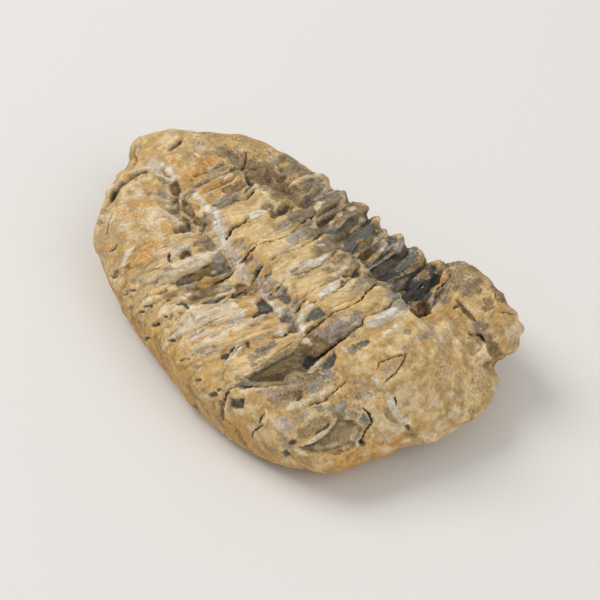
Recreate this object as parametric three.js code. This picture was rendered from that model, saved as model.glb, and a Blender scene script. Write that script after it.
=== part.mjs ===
// A fossil calymenid trilobite, lying belly down: one natural piece of stone.
//
// The body is a long arched loaf. Its axis runs along X from the tail (-X) to the head (+X), Y is
// across, Z is up, and the stone rests on Z = 0. A raised axial lobe runs down the back between two
// furrows, with a pleural lobe on each side. The thoracic rings cross all three lobes and sweep back
// towards the tail at their tips. The head carries the bulging glabella between two cheeks.
//
// The surface is a sphere whose poles are the snout and the tail tip. Each circle of the sphere
// becomes one cross-section of the body, so the edge of every ring lies on a row of vertices and
// stays sharp.

import * as THREE from 'three';
import { mergeVertices } from 'three/addons/utils/BufferGeometryUtils.js';

// ---------------------------------------------------------------- driving dimensions, millimetres

const SNOUT_X = 48.5;
const TAIL_X = -49.5;
const POLE_HEIGHT = 7.5;

// The middle of the stone's footprint, which is moved to the origin once the surface is made.
const MIDDLE_X = -0.5;
const MIDDLE_Y = 0.8;

const AXIAL_HALF_WIDTH = 9.8;
const FURROW_DEPTH = 0.8;
const FURROW_WIDTH = 1.7;
const SWEEP_SLOPE = 0.34;
const TIP_SWEEP = 4;
const SHEAR = 0.06;

const EDGE_HEIGHT = 9;
const FLANK_FOOT_HEIGHT = 2.2;
const FLANK_FOOT_INSET = 1.3;
const BELLY_INSET = 5;

// The eye stands out over the flank below it.
const EYE_OVERHANG = 4;
const EYE_STATION = 42;
const EYE_OVERHANG_LENGTH = 2.6;

// Each profile below is a list of [station, value]; a smooth curve runs through the values.
const CREST_HEIGHT = through([
  [-49.5, 7.5], [-48.8, 12.5], [-46.5, 16], [-43, 18.2], [-38, 19.8], [-30, 20.8], [-20, 21.3],
  [-11, 22.4], [-4, 23.5], [5, 24], [20, 24.2], [31, 24], [36, 23.5], [40, 21.8], [43, 19.3],
  [45.5, 15.6], [47.6, 11], [48.5, 6],
]);
const PLEURAL_HEIGHT = through([
  [-49.5, 7.5], [-48.8, 10.5], [-46.5, 13], [-43, 15.4], [-38, 17.4], [-30, 18.3], [-20, 18.8], [0, 19],
  [20, 19.2], [31, 19.5], [36, 19.5], [40, 18], [43, 15.5], [45.5, 12], [47.6, 9], [48.5, 6],
]);
const NEAR_HALF_WIDTH = through([
  [-49.5, 0], [-48.8, 4.2], [-46.5, 7.4], [-43, 10.1], [-38, 14.8], [-30, 19.9], [-20, 23.5],
  [-10, 25.4], [0, 26.7], [10, 27.7], [20, 28.7], [31, 28.4], [36, 26.6], [40, 23.6], [43, 19.4],
  [45.5, 13.8], [47.5, 7.2], [48.2, 4.2], [48.5, 0],
]);
const FAR_HALF_WIDTH = through([
  [-49.5, 0], [-48.8, 4.3], [-46.5, 8.6], [-43, 12.4], [-38, 16.3], [-30, 20.2], [-20, 22.4],
  [-10, 23.9], [0, 25], [10, 25.8], [20, 26.2], [27, 26.6], [31, 27.6], [33, 29.2], [35, 30.4],
  [37, 30.6], [38.6, 29.8], [40.6, 29.4], [42.2, 27], [43.2, 19.2], [44.4, 15.8], [46, 14.2],
  [47.5, 11.6], [48.2, 8], [48.5, 0],
]);

// ---------------------------------------------------------------- the rings

// Where the rear edge of each ring crosses the axis, from the back of the head to the tail. The
// rings of the thorax are wide; those fused into the tail are narrow.
const THORAX_EDGES = [31.1, 25.4, 19.4, 13.3, 7.4, 1.6, -3.9, -11];
const TAIL_EDGES = [-14.2, -17.6, -21, -25.5];
const RING_EDGES = [...THORAX_EDGES, ...TAIL_EDGES];

const AXIAL_RING_RISE = 1.2;
const NEAR_PLATE_RISE = 1.1;
const NEAR_PLATE_SHIFT = 0.5;
const FAR_PLATE_RISE = 4.6;
const FAR_TIP_LENGTH = 2.4;
const NEAR_TIP_LENGTH = 0.7;

// ---------------------------------------------------------------- mesh rows and columns

const THORAX_ROWS = [0.03, 0.25, 0.46, 0.54, 0.78, 0.97];
const TAIL_RING_ROWS = [0.05, 0.5, 0.93];
const HEAD_ROWS = 16;
const TAIL_ROWS = 14;
const TOP_COLUMNS = 45;
const BELLY_COLUMNS = 10;

// ---------------------------------------------------------------- helpers

/** A smooth function through a list of [station, value]. */
function through(points) {
  const curve = new THREE.CubicInterpolant(points.map((p) => p[0]), points.map((p) => p[1]), 1);
  const first = points[0][0];
  const last = points[points.length - 1][0];
  return (x) => curve.evaluate(THREE.MathUtils.clamp(x, first, last))[0];
}

const { clamp, lerp, smoothstep: smooth } = THREE.MathUtils;

/** A soft bump: 1 where the distance is nothing, fading out over the width. */
const bump = (distance, width) => Math.exp(-((distance / width) ** 2));

/** A number from -1 to 1 that looks random but is always the same for the same place. */
function chance(i, j) {
  const wave = Math.sin(i * 127.1 + j * 311.7) * 43758.5453;
  return 2 * (wave - Math.floor(wave)) - 1;
}

/** Smooth uneven ground over the plane, from -1 to 1, with lumps one unit apart. */
function uneven(x, y) {
  const i = Math.floor(x);
  const j = Math.floor(y);
  const u = smooth(x - i, 0, 1);
  const v = smooth(y - j, 0, 1);
  const low = lerp(chance(i, j), chance(i + 1, j), u);
  const high = lerp(chance(i, j + 1), chance(i + 1, j + 1), u);
  return lerp(low, high, v);
}

/** How far through its ring a station lies, 0 at the rear edge and 1 at the front edge. */
function ringPhase(station) {
  for (let i = 1; i < RING_EDGES.length; i += 1) {
    if (station >= RING_EDGES[i] && station < RING_EDGES[i - 1]) {
      return (station - RING_EDGES[i]) / (RING_EDGES[i - 1] - RING_EDGES[i]);
    }
  }
  return 0.5;
}

/** How strongly the rings swing back towards the tail: fully along the thorax, not at the ends. */
function sweepShare(station) {
  return smooth(station, -48, -16) * (1 - smooth(station, 31, 46));
}

/** The place along X of a point at a station, once its ring has swung back. */
function sweptX(station, across) {
  const out = Math.hypot(across, 3) - 3;
  const sweep = SWEEP_SLOPE * out + TIP_SWEEP * smooth(out, 15, 27) + SHEAR * across;
  return station - sweep * sweepShare(station);
}

// ---------------------------------------------------------------- relief of the back

/** The arch of the back without its rings: axial lobe, furrows and pleural lobes. */
function arch(station, across, halfWidth) {
  const outward = clamp(Math.abs(across) / Math.max(halfWidth, 0.01), 0, 1);
  const edge = Math.min(EDGE_HEIGHT, lerp(POLE_HEIGHT, EDGE_HEIGHT, PLEURAL_HEIGHT(station) / 18));
  const pleura = edge + (PLEURAL_HEIGHT(station) - edge) * Math.pow(1 - Math.pow(outward, 3), 0.45);
  const lobeHalf = clamp(0.55 * halfWidth, 0.01, AXIAL_HALF_WIDTH);
  const lobe = clamp(1 - (across / lobeHalf) ** 2, 0, 1);
  const rise = (CREST_HEIGHT(station) - PLEURAL_HEIGHT(station)) * lobe;
  const along = smooth(station, -44, -36) * (1 - smooth(station, 40, 46));
  const furrow = FURROW_DEPTH * along * bump(Math.abs(across) - lobeHalf, FURROW_WIDTH);
  return pleura + rise - furrow;
}

/** The rings: each overlaps the next on the axis, and ends in steep-fronted plates outside it. */
function rings(station, across) {
  const phase = ringPhase(station);
  const thorax = smooth(station, -12, -7) * (1 - smooth(station, 30.9, 31.2));
  const ringed = smooth(station, -27, -24) * (1 - smooth(station, 30.9, 31.2));
  const onAxis = 1 - smooth(Math.abs(across), 7.5, 10.5);
  const axial = AXIAL_RING_RISE * (Math.pow(1 - phase, 0.6) - 0.65) * ringed * onAxis;
  const outer = smooth(Math.abs(across), 9, 13);
  if (across > 0) {
    const towardsHead = lerp(0.45, 1, smooth(station, -6, 12));
    return axial + FAR_PLATE_RISE * towardsHead * (Math.pow(phase, 0.8) - 0.75) * thorax * outer;
  }
  const nearPhase = (phase + 1 - NEAR_PLATE_SHIFT) % 1;
  return axial + NEAR_PLATE_RISE * (nearPhase - 0.6) * thorax * outer;
}

// Named lumps and hollows: centre, half-lengths along the body and across it, and height (negative
// for a hollow). The place along the body is a station, so each one follows the sweep of the rings.
const LUMPS = {
  glabella: { station: 39.5, across: 0.5, along: 7, wide: 11, height: 1.6 },
  occipitalFurrow: { station: 35.2, across: 0, along: 1.2, wide: 9, height: -0.7 },
  nearCheek: { station: 35, across: -20, along: 6.5, wide: 6, height: 1.2 },
  nearCheekHollow: { station: 38, across: -16, along: 3, wide: 5, height: -1.4 },
  farCheek: { station: 38.2, across: 24, along: 5.4, wide: 6, height: 4.4 },
  eye: { station: 41.6, across: 25, along: 2.2, wide: 3.4, height: 3.4 },
  eyeNotch: { station: 39.9, across: 27, along: 1.1, wide: 2.6, height: -1.8 },
  farCheekFurrow: { station: 40.5, across: 15.5, along: 5.5, wide: 1.9, height: -1.8 },
  nearCheekFurrow: { station: 41, across: -9.5, along: 5, wide: 1.8, height: -0.8 },
  nearHeadGap: { station: 31.2, across: -15.5, along: 1.7, wide: 6.5, height: -3.8 },
  farHeadGap: { station: 32.4, across: 15.5, along: 2, wide: 5.5, height: -4.5 },
  farHeadPit: { station: 34, across: 11, along: 1.6, wide: 2, height: -2.6 },
  longHollow: { station: 0.4, across: -14.5, along: 1.7, wide: 5.4, height: -3.2 },
  shortHollow: { station: 6.3, across: -16, along: 1.4, wide: 4.6, height: -2.2 },
  furrowPit: { station: -11.5, across: -10.5, along: 2.4, wide: 1.8, height: -1.4 },
  axisPit: { station: -2.4, across: 5.6, along: 1.5, wide: 2, height: -1.6 },
  tailBoss: { station: -41, across: -1, along: 4, wide: 5, height: 1 },
};

/** The sum of the named lumps and hollows at a place. */
function lumps(station, across) {
  let sum = 0;
  for (const lump of Object.values(LUMPS)) {
    const along = (station - lump.station) / lump.along;
    const wide = (across - lump.across) / lump.wide;
    sum += lump.height * Math.exp(-(Math.hypot(along, wide) ** 2.8));
  }
  return sum;
}

/** The split that runs round the near side of the tail, leaving a thin outer rim. */
function tailSplit(x, y) {
  const ringRadius = Math.hypot((x + 22) / 21.5, (y + 2) / 15.5);
  const inReach = smooth(-x, 30, 34) * smooth(-y, 3.5, 6);
  return -1.8 * inReach * bump(ringRadius - 1, 0.045);
}

// ---------------------------------------------------------------- one cross-section

/** A point on the back: share runs from 0 at the far edge to 1 at the near edge. */
function backPoint(station, share) {
  const phase = ringPhase(station);
  const thorax = smooth(station, -12, -7) * (1 - smooth(station, 30.9, 31.2));
  const rounded = Math.sqrt(Math.sin(Math.PI * clamp(0.1 + 0.9 * phase, 0, 1))) - 0.6;
  const far = FAR_HALF_WIDTH(station) + FAR_TIP_LENGTH * rounded * thorax;
  const near = NEAR_HALF_WIDTH(station) + NEAR_TIP_LENGTH * rounded * thorax;
  const turn = Math.cos(Math.PI * share);
  const across = turn * (turn > 0 ? far : near);
  const x = sweptX(station, across);
  const calm = 1 - smooth(Math.abs(turn), 0.97, 1);
  const body = smooth(station, -49.5, -46) * (1 - smooth(station, 44.5, 47.5));
  const relief = (rings(station, across) + lumps(station, across) + tailSplit(x, across)) * calm * body;
  const rough = 0.35 * uneven(x / 2.6, across / 2.6) + 0.5 * uneven(x / 7 + 9, across / 7);
  const height = arch(station, across, turn > 0 ? far : near) + relief + rough * calm * body;
  return new THREE.Vector3(x, across, height);
}

/** A point under the body: share runs from 0 at the near edge to 1 at the far edge. */
function bellyPoint(station, share) {
  const near = backPoint(station, 1);
  const far = backPoint(station, 0);
  const lift = 5.5 * smooth(station, 35, 47.5) + 6.5 * smooth(-station, 42, 49.5);
  const width = far.y - near.y;
  const foot = Math.min(FLANK_FOOT_INSET, 0.1 * width);
  const inset = Math.min(BELLY_INSET, 0.25 * width);
  const overhang = EYE_OVERHANG * bump(station - EYE_STATION, EYE_OVERHANG_LENGTH);
  const footHeight = Math.min(near.z, lerp(FLANK_FOOT_HEIGHT, POLE_HEIGHT, lift / 6.5));
  const stops = [0, 0.1, 0.2, 0.8, 0.9, 1];
  const farFoot = far.y - foot - overhang;
  const farInset = far.y - inset - overhang;
  const across = [near.y, near.y + foot, near.y + inset, farInset, farFoot, far.y];
  const heights = [near.z, footHeight, lift, lift, footHeight, far.z];
  const step = clamp(stops.findIndex((stop) => stop > share), 1, 5);
  const along = (share - stops[step - 1]) / (stops[step] - stops[step - 1]);
  const y = lerp(across[step - 1], across[step], along);
  const z = lerp(heights[step - 1], heights[step], along);
  return new THREE.Vector3(sweptX(station, y), y, Math.min(z, near.z, far.z));
}

// ---------------------------------------------------------------- the body

/** Every station that gets a row of vertices, from the snout back to the tail tip. */
function bodyStations() {
  const stations = [];
  const headStart = THORAX_EDGES[0] + 0.03;
  for (let i = 0; i <= HEAD_ROWS; i += 1) {
    stations.push(lerp(headStart, SNOUT_X, Math.cos((Math.PI / 2) * (i / HEAD_ROWS))));
  }
  for (let i = 1; i < RING_EDGES.length; i += 1) {
    const rows = i < THORAX_EDGES.length ? THORAX_ROWS : TAIL_RING_ROWS;
    for (const row of [...rows].reverse()) {
      stations.push(lerp(RING_EDGES[i], RING_EDGES[i - 1], row));
    }
  }
  const tailStart = RING_EDGES[RING_EDGES.length - 1];
  for (let i = 0; i <= TAIL_ROWS; i += 1) {
    stations.push(lerp(tailStart, TAIL_X, Math.sin((Math.PI / 2) * (i / TAIL_ROWS))));
  }
  return stations;
}

/** The whole stone as one closed surface. */
function bodyGeometry() {
  const stations = bodyStations();
  const columns = TOP_COLUMNS + BELLY_COLUMNS;
  const geometry = new THREE.SphereGeometry(1, columns, stations.length - 1);
  const positions = geometry.attributes.position;
  stations.forEach((station, row) => {
    const pole = row === 0 || row === stations.length - 1;
    for (let column = 0; column <= columns; column += 1) {
      const round = column % columns;
      let point = new THREE.Vector3(station, 0, POLE_HEIGHT);
      if (!pole && round <= TOP_COLUMNS) point = backPoint(station, round / TOP_COLUMNS);
      if (!pole && round > TOP_COLUMNS) {
        point = bellyPoint(station, (round - TOP_COLUMNS) / BELLY_COLUMNS);
      }
      positions.setXYZ(row * (columns + 1) + column, point.x, point.y, point.z);
    }
  });
  geometry.deleteAttribute('normal');
  geometry.deleteAttribute('uv');
  const merged = mergeVertices(geometry, 1e-4);
  merged.translate(-MIDDLE_X, -MIDDLE_Y, 0);
  merged.computeVertexNormals();
  return merged;
}

const stone = new THREE.MeshStandardMaterial({ color: 0xb99a66, roughness: 0.92, metalness: 0 });
const body = new THREE.Mesh(bodyGeometry(), stone);
body.name = 'trilobite_fossil';

const part = new THREE.Group();
part.name = 'fossil_trilobite';
part.add(body);

export default part;
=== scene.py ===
"""A fossil calymenid trilobite, dressed as the weathered stone that it is.

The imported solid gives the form: tail at -X, head at +X, the back up. This script grows an even skin
over that form, carves the cracks, gaps, ridges and grain that weathering left, paints each kind of
mineral as a mask on the skin, and dresses it with one stone material that reads those masks.

Marks are placed in a leaning plan: the back of the stone as seen along one fixed slanting direction,
in millimetres, X along the body and Y across it, measured where that direction meets the furrows'
height. A mark touches only the part of the skin that faces along that direction.
"""

import itertools
import logging
import math
from dataclasses import dataclass
from enum import Enum

import bmesh
import bpy
import numpy as np
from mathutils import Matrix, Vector
from mathutils.bvhtree import BVHTree


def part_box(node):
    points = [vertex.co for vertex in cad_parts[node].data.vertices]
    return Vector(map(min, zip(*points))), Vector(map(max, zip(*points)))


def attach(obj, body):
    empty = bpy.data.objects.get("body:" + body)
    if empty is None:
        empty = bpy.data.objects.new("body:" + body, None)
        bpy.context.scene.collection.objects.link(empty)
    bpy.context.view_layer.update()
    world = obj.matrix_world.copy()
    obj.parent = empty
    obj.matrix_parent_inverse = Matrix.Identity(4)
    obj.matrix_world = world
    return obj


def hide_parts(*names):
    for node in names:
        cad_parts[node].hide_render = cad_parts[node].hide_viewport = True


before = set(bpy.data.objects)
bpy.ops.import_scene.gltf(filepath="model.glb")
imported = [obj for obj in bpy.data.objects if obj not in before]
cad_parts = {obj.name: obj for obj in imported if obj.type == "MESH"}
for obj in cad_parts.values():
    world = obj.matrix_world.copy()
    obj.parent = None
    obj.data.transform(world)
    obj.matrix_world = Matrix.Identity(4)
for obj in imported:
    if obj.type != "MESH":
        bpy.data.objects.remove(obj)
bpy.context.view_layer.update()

MM = 0.001
# How far the plates lie back for each millimetre outwards.
PLATE_SWEEP = 0.34
# The distance to the nearest crack, in its half widths, that the skin keeps where there is none.
NO_CRACK = 9.0
NODE = "trilobite_fossil"
BODY = "root"

log = logging.getLogger("trilobite")


# ------------------------------------------------------------------------------- kinds of mineral


class Tone(Enum):
    """The kinds of mineral and staining that cover parts of the stone, and a near-black painted shadow;
    each names its own mask.
    """

    SHELL = "shell"
    CAVITY = "cavity"
    CALCITE = "calcite"
    PINK = "pink"
    VIOLET = "violet"
    ORANGE = "orange"
    BROWN = "brown"
    OLIVE = "olive"
    DUN = "dun"
    PALE = "pale"
    GREY = "grey"
    # Near-black painted shadow, laid where deep shadow falls in the far gaps and in the great gap.
    BLACK = "black"
    GOLD = "gold"


# Short names, in the same order, for the long lists below.
SHELL, CAVITY, CALCITE, PINK, VIOLET, ORANGE, BROWN, OLIVE, DUN, PALE, GREY, BLACK, GOLD = Tone


@dataclass(frozen=True)
class ToneFinish:
    """The look of one kind of mineral.

    Attributes:
        tone: Which mask it follows.
        dark: Linear colour of its darker mottles.
        light: Linear colour of its lighter mottles.
        ragged: How far small noise eats into its edge, as a share of the mask.
        roughness: Surface roughness where it covers the stone.
    """

    tone: Tone
    dark: tuple[float, float, float]
    light: tuple[float, float, float]
    ragged: float
    roughness: float


# Laid one over the other in this order, so dark cavities, shell and the near-black painted shadow end up on
# top.
TONE_FINISHES: tuple[ToneFinish, ...] = (
    ToneFinish(GOLD, (0.55, 0.38, 0.175), (0.83, 0.61, 0.31), 0.80, 0.90),
    ToneFinish(PALE, (0.51, 0.39, 0.24), (0.81, 0.65, 0.435), 0.80, 0.88),
    ToneFinish(DUN, (0.18, 0.135, 0.075), (0.37, 0.285, 0.17), 0.90, 0.88),
    ToneFinish(ORANGE, (0.38, 0.19, 0.06), (0.71, 0.41, 0.13), 0.80, 0.90),
    ToneFinish(GREY, (0.23, 0.20, 0.155), (0.46, 0.41, 0.32), 0.75, 0.86),
    ToneFinish(VIOLET, (0.20, 0.15, 0.115), (0.45, 0.35, 0.27), 1.00, 0.84),
    ToneFinish(BROWN, (0.16, 0.10, 0.045), (0.36, 0.235, 0.11), 0.80, 0.90),
    ToneFinish(OLIVE, (0.23, 0.17, 0.08), (0.43, 0.31, 0.145), 0.50, 0.80),
    ToneFinish(PINK, (0.45, 0.33, 0.235), (0.72, 0.56, 0.42), 0.80, 0.86),
    ToneFinish(CALCITE, (0.47, 0.41, 0.31), (0.82, 0.75, 0.61), 1.10, 0.82),
    ToneFinish(SHELL, (0.085, 0.080, 0.066), (0.190, 0.176, 0.145), 0.45, 0.60),
    ToneFinish(CAVITY, (0.15, 0.12, 0.075), (0.36, 0.29, 0.185), 0.55, 0.85),
    # The near-black painted shadow of the deepest gaps.
    ToneFinish(BLACK, (0.035, 0.033, 0.028), (0.095, 0.088, 0.074), 0.50, 0.65),
)


@dataclass(frozen=True)
class StoneFinish:
    """The look of the bare ochre stone between the minerals.

    Attributes:
        ochre_dark: Linear colour of the darker ochre.
        ochre_light: Linear colour of the lighter ochre.
        rust: Linear colour of the iron stain that drifts through it.
        sand: Linear colour of the pale sandy drifts.
        ash: Linear colour of the fine grey specks.
        shade: What red, green and blue are multiplied by for the painted shade in hollows, at facet joints
            and at the foot of flakes, and in dark fibres.
        dull: The same in the grey specks.
        bright: The same in the pale specks and on worn crests.
        calm: How strong the specks stay on the smooth head and tail, from 0 to 1.
        crack: Linear colour of the painted shadow line inside the cracks.
        broad: Size of the broad drifts of colour, millimetres.
        middle: Size of the blotches, millimetres.
        fine: Size of the specks, millimetres.
        streak: Width of the streaks that run along the plates, millimetres.
        fibre: Width of the finest fibres in those streaks, millimetres.
        grain: Size of the grain that takes the fibres' place on the head and the tail, millimetres.
        facet: Width of the broken facets, millimetres.
        roughness: Roughness of the bare stone.
        bump: Strength of the finest grain.
    """

    ochre_dark: tuple[float, float, float] = (0.45, 0.29, 0.12)
    ochre_light: tuple[float, float, float] = (0.73, 0.515, 0.24)
    rust: tuple[float, float, float] = (0.59, 0.34, 0.11)
    sand: tuple[float, float, float] = (0.78, 0.60, 0.36)
    ash: tuple[float, float, float] = (0.33, 0.265, 0.17)
    shade: tuple[float, float, float] = (0.30, 0.28, 0.27)
    dull: tuple[float, float, float] = (0.62, 0.64, 0.70)
    bright: tuple[float, float, float] = (1.28, 1.33, 1.38)
    calm: float = 0.9
    crack: tuple[float, float, float] = (0.06, 0.038, 0.020)
    broad: float = 6.0
    middle: float = 2.4
    fine: float = 0.5
    streak: float = 2.0
    fibre: float = 0.55
    grain: float = 1.1
    facet: float = 1.5
    roughness: float = 0.9
    bump: float = 1.0


# --------------------------------------------------------------------------- helpers for numbers


def smooth_step(values: np.ndarray, low: float, high: float) -> np.ndarray:
    """0 below low, 1 above high and a soft ramp between.

    Args:
        values: Any numbers.
        low: Where the ramp starts.
        high: Where it ends; it may lie below low, and then the ramp falls.

    Returns:
        The ramp's height at each value.
    """
    share = np.clip((values - low) / (high - low), 0.0, 1.0)
    return share * share * (3.0 - 2.0 * share)


def value_noise(points: np.ndarray, size: float, seed: int) -> np.ndarray:
    """Smooth lumps of one size, from -1 to 1, the same on every run.

    Args:
        points: Places, one row each, in millimetres.
        size: Distance from lump to lump, millimetres.
        seed: Picks one pattern.

    Returns:
        One number for each place.
    """
    cell = points / size
    base = np.floor(cell).astype(np.int64)
    part = cell - base
    part = part * part * (3.0 - 2.0 * part)
    total = np.zeros(len(points))
    for corner in itertools.product((0, 1), repeat=points.shape[1]):
        mixed = np.full(len(points), seed * 144665 + 1013, np.int64)
        weight = np.ones(len(points))
        for axis, step in enumerate(corner):
            mixed = (mixed * 31 + (base[:, axis] + step) * (374761393 + 62914 * axis)) & 0xFFFFFFFF
            mixed = ((mixed ^ (mixed >> 13)) * 1274126177) & 0xFFFFFFFF
            weight = weight * (part[:, axis] if step else 1.0 - part[:, axis])
        total += weight * ((mixed ^ (mixed >> 16)) & 0xFFFF) / 32767.5
    return total - 1.0


def layered_noise(points: np.ndarray, size: float, seed: int, layers: int = 3) -> np.ndarray:
    """Several sizes of lumps added up, each half as large and half as high as the last.

    Args:
        points: Places, one row each, in millimetres.
        size: Size of the largest lumps, millimetres.
        seed: Picks one pattern.
        layers: How many sizes.

    Returns:
        One number for each place, roughly from -1 to 1.
    """
    total = np.zeros(len(points))
    for layer in range(layers):
        total += value_noise(points, size / 2**layer, seed + 17 * layer) / 2**layer
    return total / 1.4


def chance(cells: np.ndarray, seed: int) -> np.ndarray:
    """A number from 0 to 1 for each cell of a grid, the same on every run.

    Args:
        cells: Whole-number places, one row each.
        seed: Picks one pattern.

    Returns:
        One number for each cell.
    """
    mixed = np.full(len(cells), seed * 9781 + 7, np.int64)
    for axis in range(cells.shape[1]):
        mixed = (mixed * 31 + cells[:, axis] * (668265263 + 51062 * axis)) & 0xFFFFFFFF
        mixed = ((mixed ^ (mixed >> 15)) * 2246822519) & 0xFFFFFFFF
    return ((mixed ^ (mixed >> 13)) & 0xFFFF) / 65535.0


def chips(points: np.ndarray, size: float, seed: int) -> tuple[np.ndarray, np.ndarray]:
    """Flat chips of broken stone, each tilted its own way.

    Args:
        points: Places, one row each, in millimetres.
        size: Width of a chip, millimetres.
        seed: Picks one pattern.

    Returns:
        The height of each place, roughly from -1 to 1, and its distance from its chip's edge in
        widths.
    """
    scaled = points / size
    base = np.floor(scaled).astype(np.int64)
    nearest = np.full(len(points), np.inf)
    second = np.full(len(points), np.inf)
    height = np.zeros(len(points))
    for step in itertools.product((-1, 0, 1), repeat=3):
        cell = base + np.array(step)
        off = scaled - cell - np.stack([chance(cell, seed + n) for n in range(3)], 1)
        distance = np.linalg.norm(off, axis=1)
        tilt = np.stack([chance(cell, seed + n) for n in range(3, 6)], 1) - 0.5
        own = 2.4 * np.einsum("ij,ij->i", tilt, off) + chance(cell, seed + 6) - 0.5
        closer = distance < nearest
        second = np.where(closer, nearest, np.minimum(second, distance))
        height = np.where(closer, own, height)
        nearest = np.where(closer, distance, nearest)
    return height, second - nearest


# ------------------------------------------------------------------------------------- the marks

Place = tuple[float, float]
Outline = tuple[Place, ...]

# A round spot is a line of this length, millimetres, since a line of none has no direction.
SPECK = 0.01


@dataclass(frozen=True)
class Mark:
    """One natural mark on the back, placed in the leaning plan, millimetres.

    Attributes:
        points: The points of its line, or the corners of its area.
        tone: The mineral, stain or painted shadow it carries, if any.
        depth: How far it is sunk; below 0 it stands proud.
        width: Half the width of a line, or the softness of an area's edge.
        strength: How strongly it is stained, from 0 to 1.
        through: Whether it also takes the surfaces that the plan hides behind others.
    """

    points: Outline
    tone: Tone | None = None
    depth: float = 0.0
    width: float = 0.3
    strength: float = 1.0
    through: bool = False

    def reach(self) -> float:
        """How far outside its points the mark still matters."""
        return 3.0 * self.width + 1.4

    def near(self, plan: np.ndarray) -> np.ndarray:
        """Which places lie within the mark's reach.

        Args:
            plan: Places in the leaning plan, one row each.

        Returns:
            The indices of the places.
        """
        corners = np.array(self.points)
        low = corners.min(0) - self.reach()
        high = corners.max(0) + self.reach()
        return np.nonzero(((plan > low) & (plan < high)).all(1))[0]

    def cover(self, plan: np.ndarray, softer: float = 0.0) -> np.ndarray:
        """How fully the mark covers each place.

        Args:
            plan: Places in the leaning plan, one row each.
            softer: How far the edge's ramp is widened to both sides, millimetres.

        Returns:
            A share from 0 to 1 for each place.
        """
        raise NotImplementedError


def line_distance(plan: np.ndarray, points: Outline) -> tuple[np.ndarray, np.ndarray, float]:
    """How far places lie from a line of straight stretches, and on which side.

    Args:
        plan: Places in the leaning plan, one row each.
        points: The line's points.

    Returns:
        The distance of each place, below 0 on the line's right; how far along the line its nearest
        point is; and the line's length.
    """
    best = np.full(len(plan), np.inf)
    along = np.zeros(len(plan))
    walked = 0.0
    for start, end in zip(np.array(points[:-1]), np.array(points[1:])):
        stretch = end - start
        length = float(np.hypot(*stretch))
        share = np.clip((plan - start) @ stretch / length**2, 0.0, 1.0)
        off = plan - start - share[:, None] * stretch
        left = stretch[0] * off[:, 1] >= stretch[1] * off[:, 0]
        distance = np.where(left, 1.0, -1.0) * np.hypot(*off.T)
        closer = np.abs(distance) < np.abs(best)
        best = np.where(closer, distance, best)
        along = np.where(closer, walked + share * length, along)
        walked += length
    return best, along, walked


class Line(Mark):
    """A crack, vein or ridge: it runs along its points and thins out at both ends."""

    def cover(self, plan: np.ndarray, softer: float = 0.0) -> np.ndarray:
        """How fully the line covers each place.

        Args:
            plan: Places in the leaning plan, one row each.
            softer: How far the edge's ramp is widened to both sides, millimetres.

        Returns:
            A share from 0 to 1 for each place.
        """
        distance, along, length = line_distance(plan, self.points)
        end = np.minimum(along, length - along) / max(0.22 * length, 0.4)
        half = self.width * (0.35 + 0.65 * np.sqrt(np.clip(end, 0.0, 1.0)))
        return 1.0 - smooth_step(np.abs(distance) - half, -0.45 * half - softer, 0.6 * half + softer)


class Crack(Line):
    """A thin crack: a shallow groove whose painted shadow line is finer than the skin's own faces."""

    def side(self, plan: np.ndarray) -> np.ndarray:
        """Which side of the crack each place lies on, and how far off.

        Args:
            plan: Places in the leaning plan, one row each.

        Returns:
            The signed distance to the crack, counted in its own half width.
        """
        distance, along, length = line_distance(plan, self.points)
        end = np.minimum(along, length - along) / max(0.3 * length, 0.4)
        return distance / (self.width * (0.25 + 0.75 * np.sqrt(np.clip(end, 0.0, 1.0))))


class Area(Mark):
    """A patch, hollow or lump: it fills the outline that its points make."""

    def cover(self, plan: np.ndarray, softer: float = 0.0) -> np.ndarray:
        """How fully the area covers each place.

        Args:
            plan: Places in the leaning plan, one row each.
            softer: How far the edge's ramp is widened to both sides, millimetres.

        Returns:
            A share from 0 to 1 for each place.
        """
        loop = self.points + self.points[:1]
        distance = np.abs(line_distance(plan, loop)[0])
        inside = np.zeros(len(plan), bool)
        x, y = plan.T
        for (x0, y0), (x1, y1) in zip(loop[:-1], loop[1:]):
            if y0 == y1:
                continue
            crosses = (y0 > y) != (y1 > y)
            inside ^= crosses & (x < (x1 - x0) * (y - y0) / (y1 - y0) + x0)
        edge = self.width + softer
        return smooth_step(np.where(inside, distance, -distance), -edge, edge)


class Spot(Mark):
    """A round or long blot: its two points are the ends of its long axis."""

    def cover(self, plan: np.ndarray, softer: float = 0.0) -> np.ndarray:
        """How fully the spot covers each place.

        Args:
            plan: Places in the leaning plan, one row each.
            softer: How far the edge's ramp is widened to both sides, millimetres.

        Returns:
            A share from 0 to 1 for each place.
        """
        distance = np.abs(line_distance(plan, self.points)[0])
        edge = 0.5 * self.width + softer
        return 1.0 - smooth_step(distance - self.width, -edge, edge)


def crack(points: Outline, width: float = 0.28, depth: float = 0.9, strength: float = 1.0) -> Crack:
    """A crack cut into the stone, with a painted shadow line."""
    return Crack(points, None, 0.75 * depth, 0.62 * width, strength)


def vein(points: Outline, width: float = 0.6, strength: float = 0.62) -> Line:
    """A white calcite vein, level with the stone and broken up along its length."""
    return Line(points, CALCITE, -0.03, width, strength)


def hole(x: float, y: float, radius: float = 0.5, depth: float = 0.9, length: float = 0.3) -> Spot:
    """A small dark hole, a little longer across the body than along it."""
    ends = ((x, y - length), (x + 0.3 * length, y + length))
    return Spot(ends, CAVITY, depth, radius)


def patch(tone: Tone, edge: float, strength: float, *corners: Place) -> Area:
    """A stained area with no relief; edge is how soft its border is."""
    return Area(corners, tone, 0.0, edge, strength)


def blot(x: float, y: float, tone: Tone, radius: float, strength: float = 0.8, length: float = 0) -> Spot:
    """A stained blot with no relief, as long to both sides as its length."""
    return Spot(((x, y - length), (x, y + length + SPECK)), tone, 0.0, radius, strength)


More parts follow.
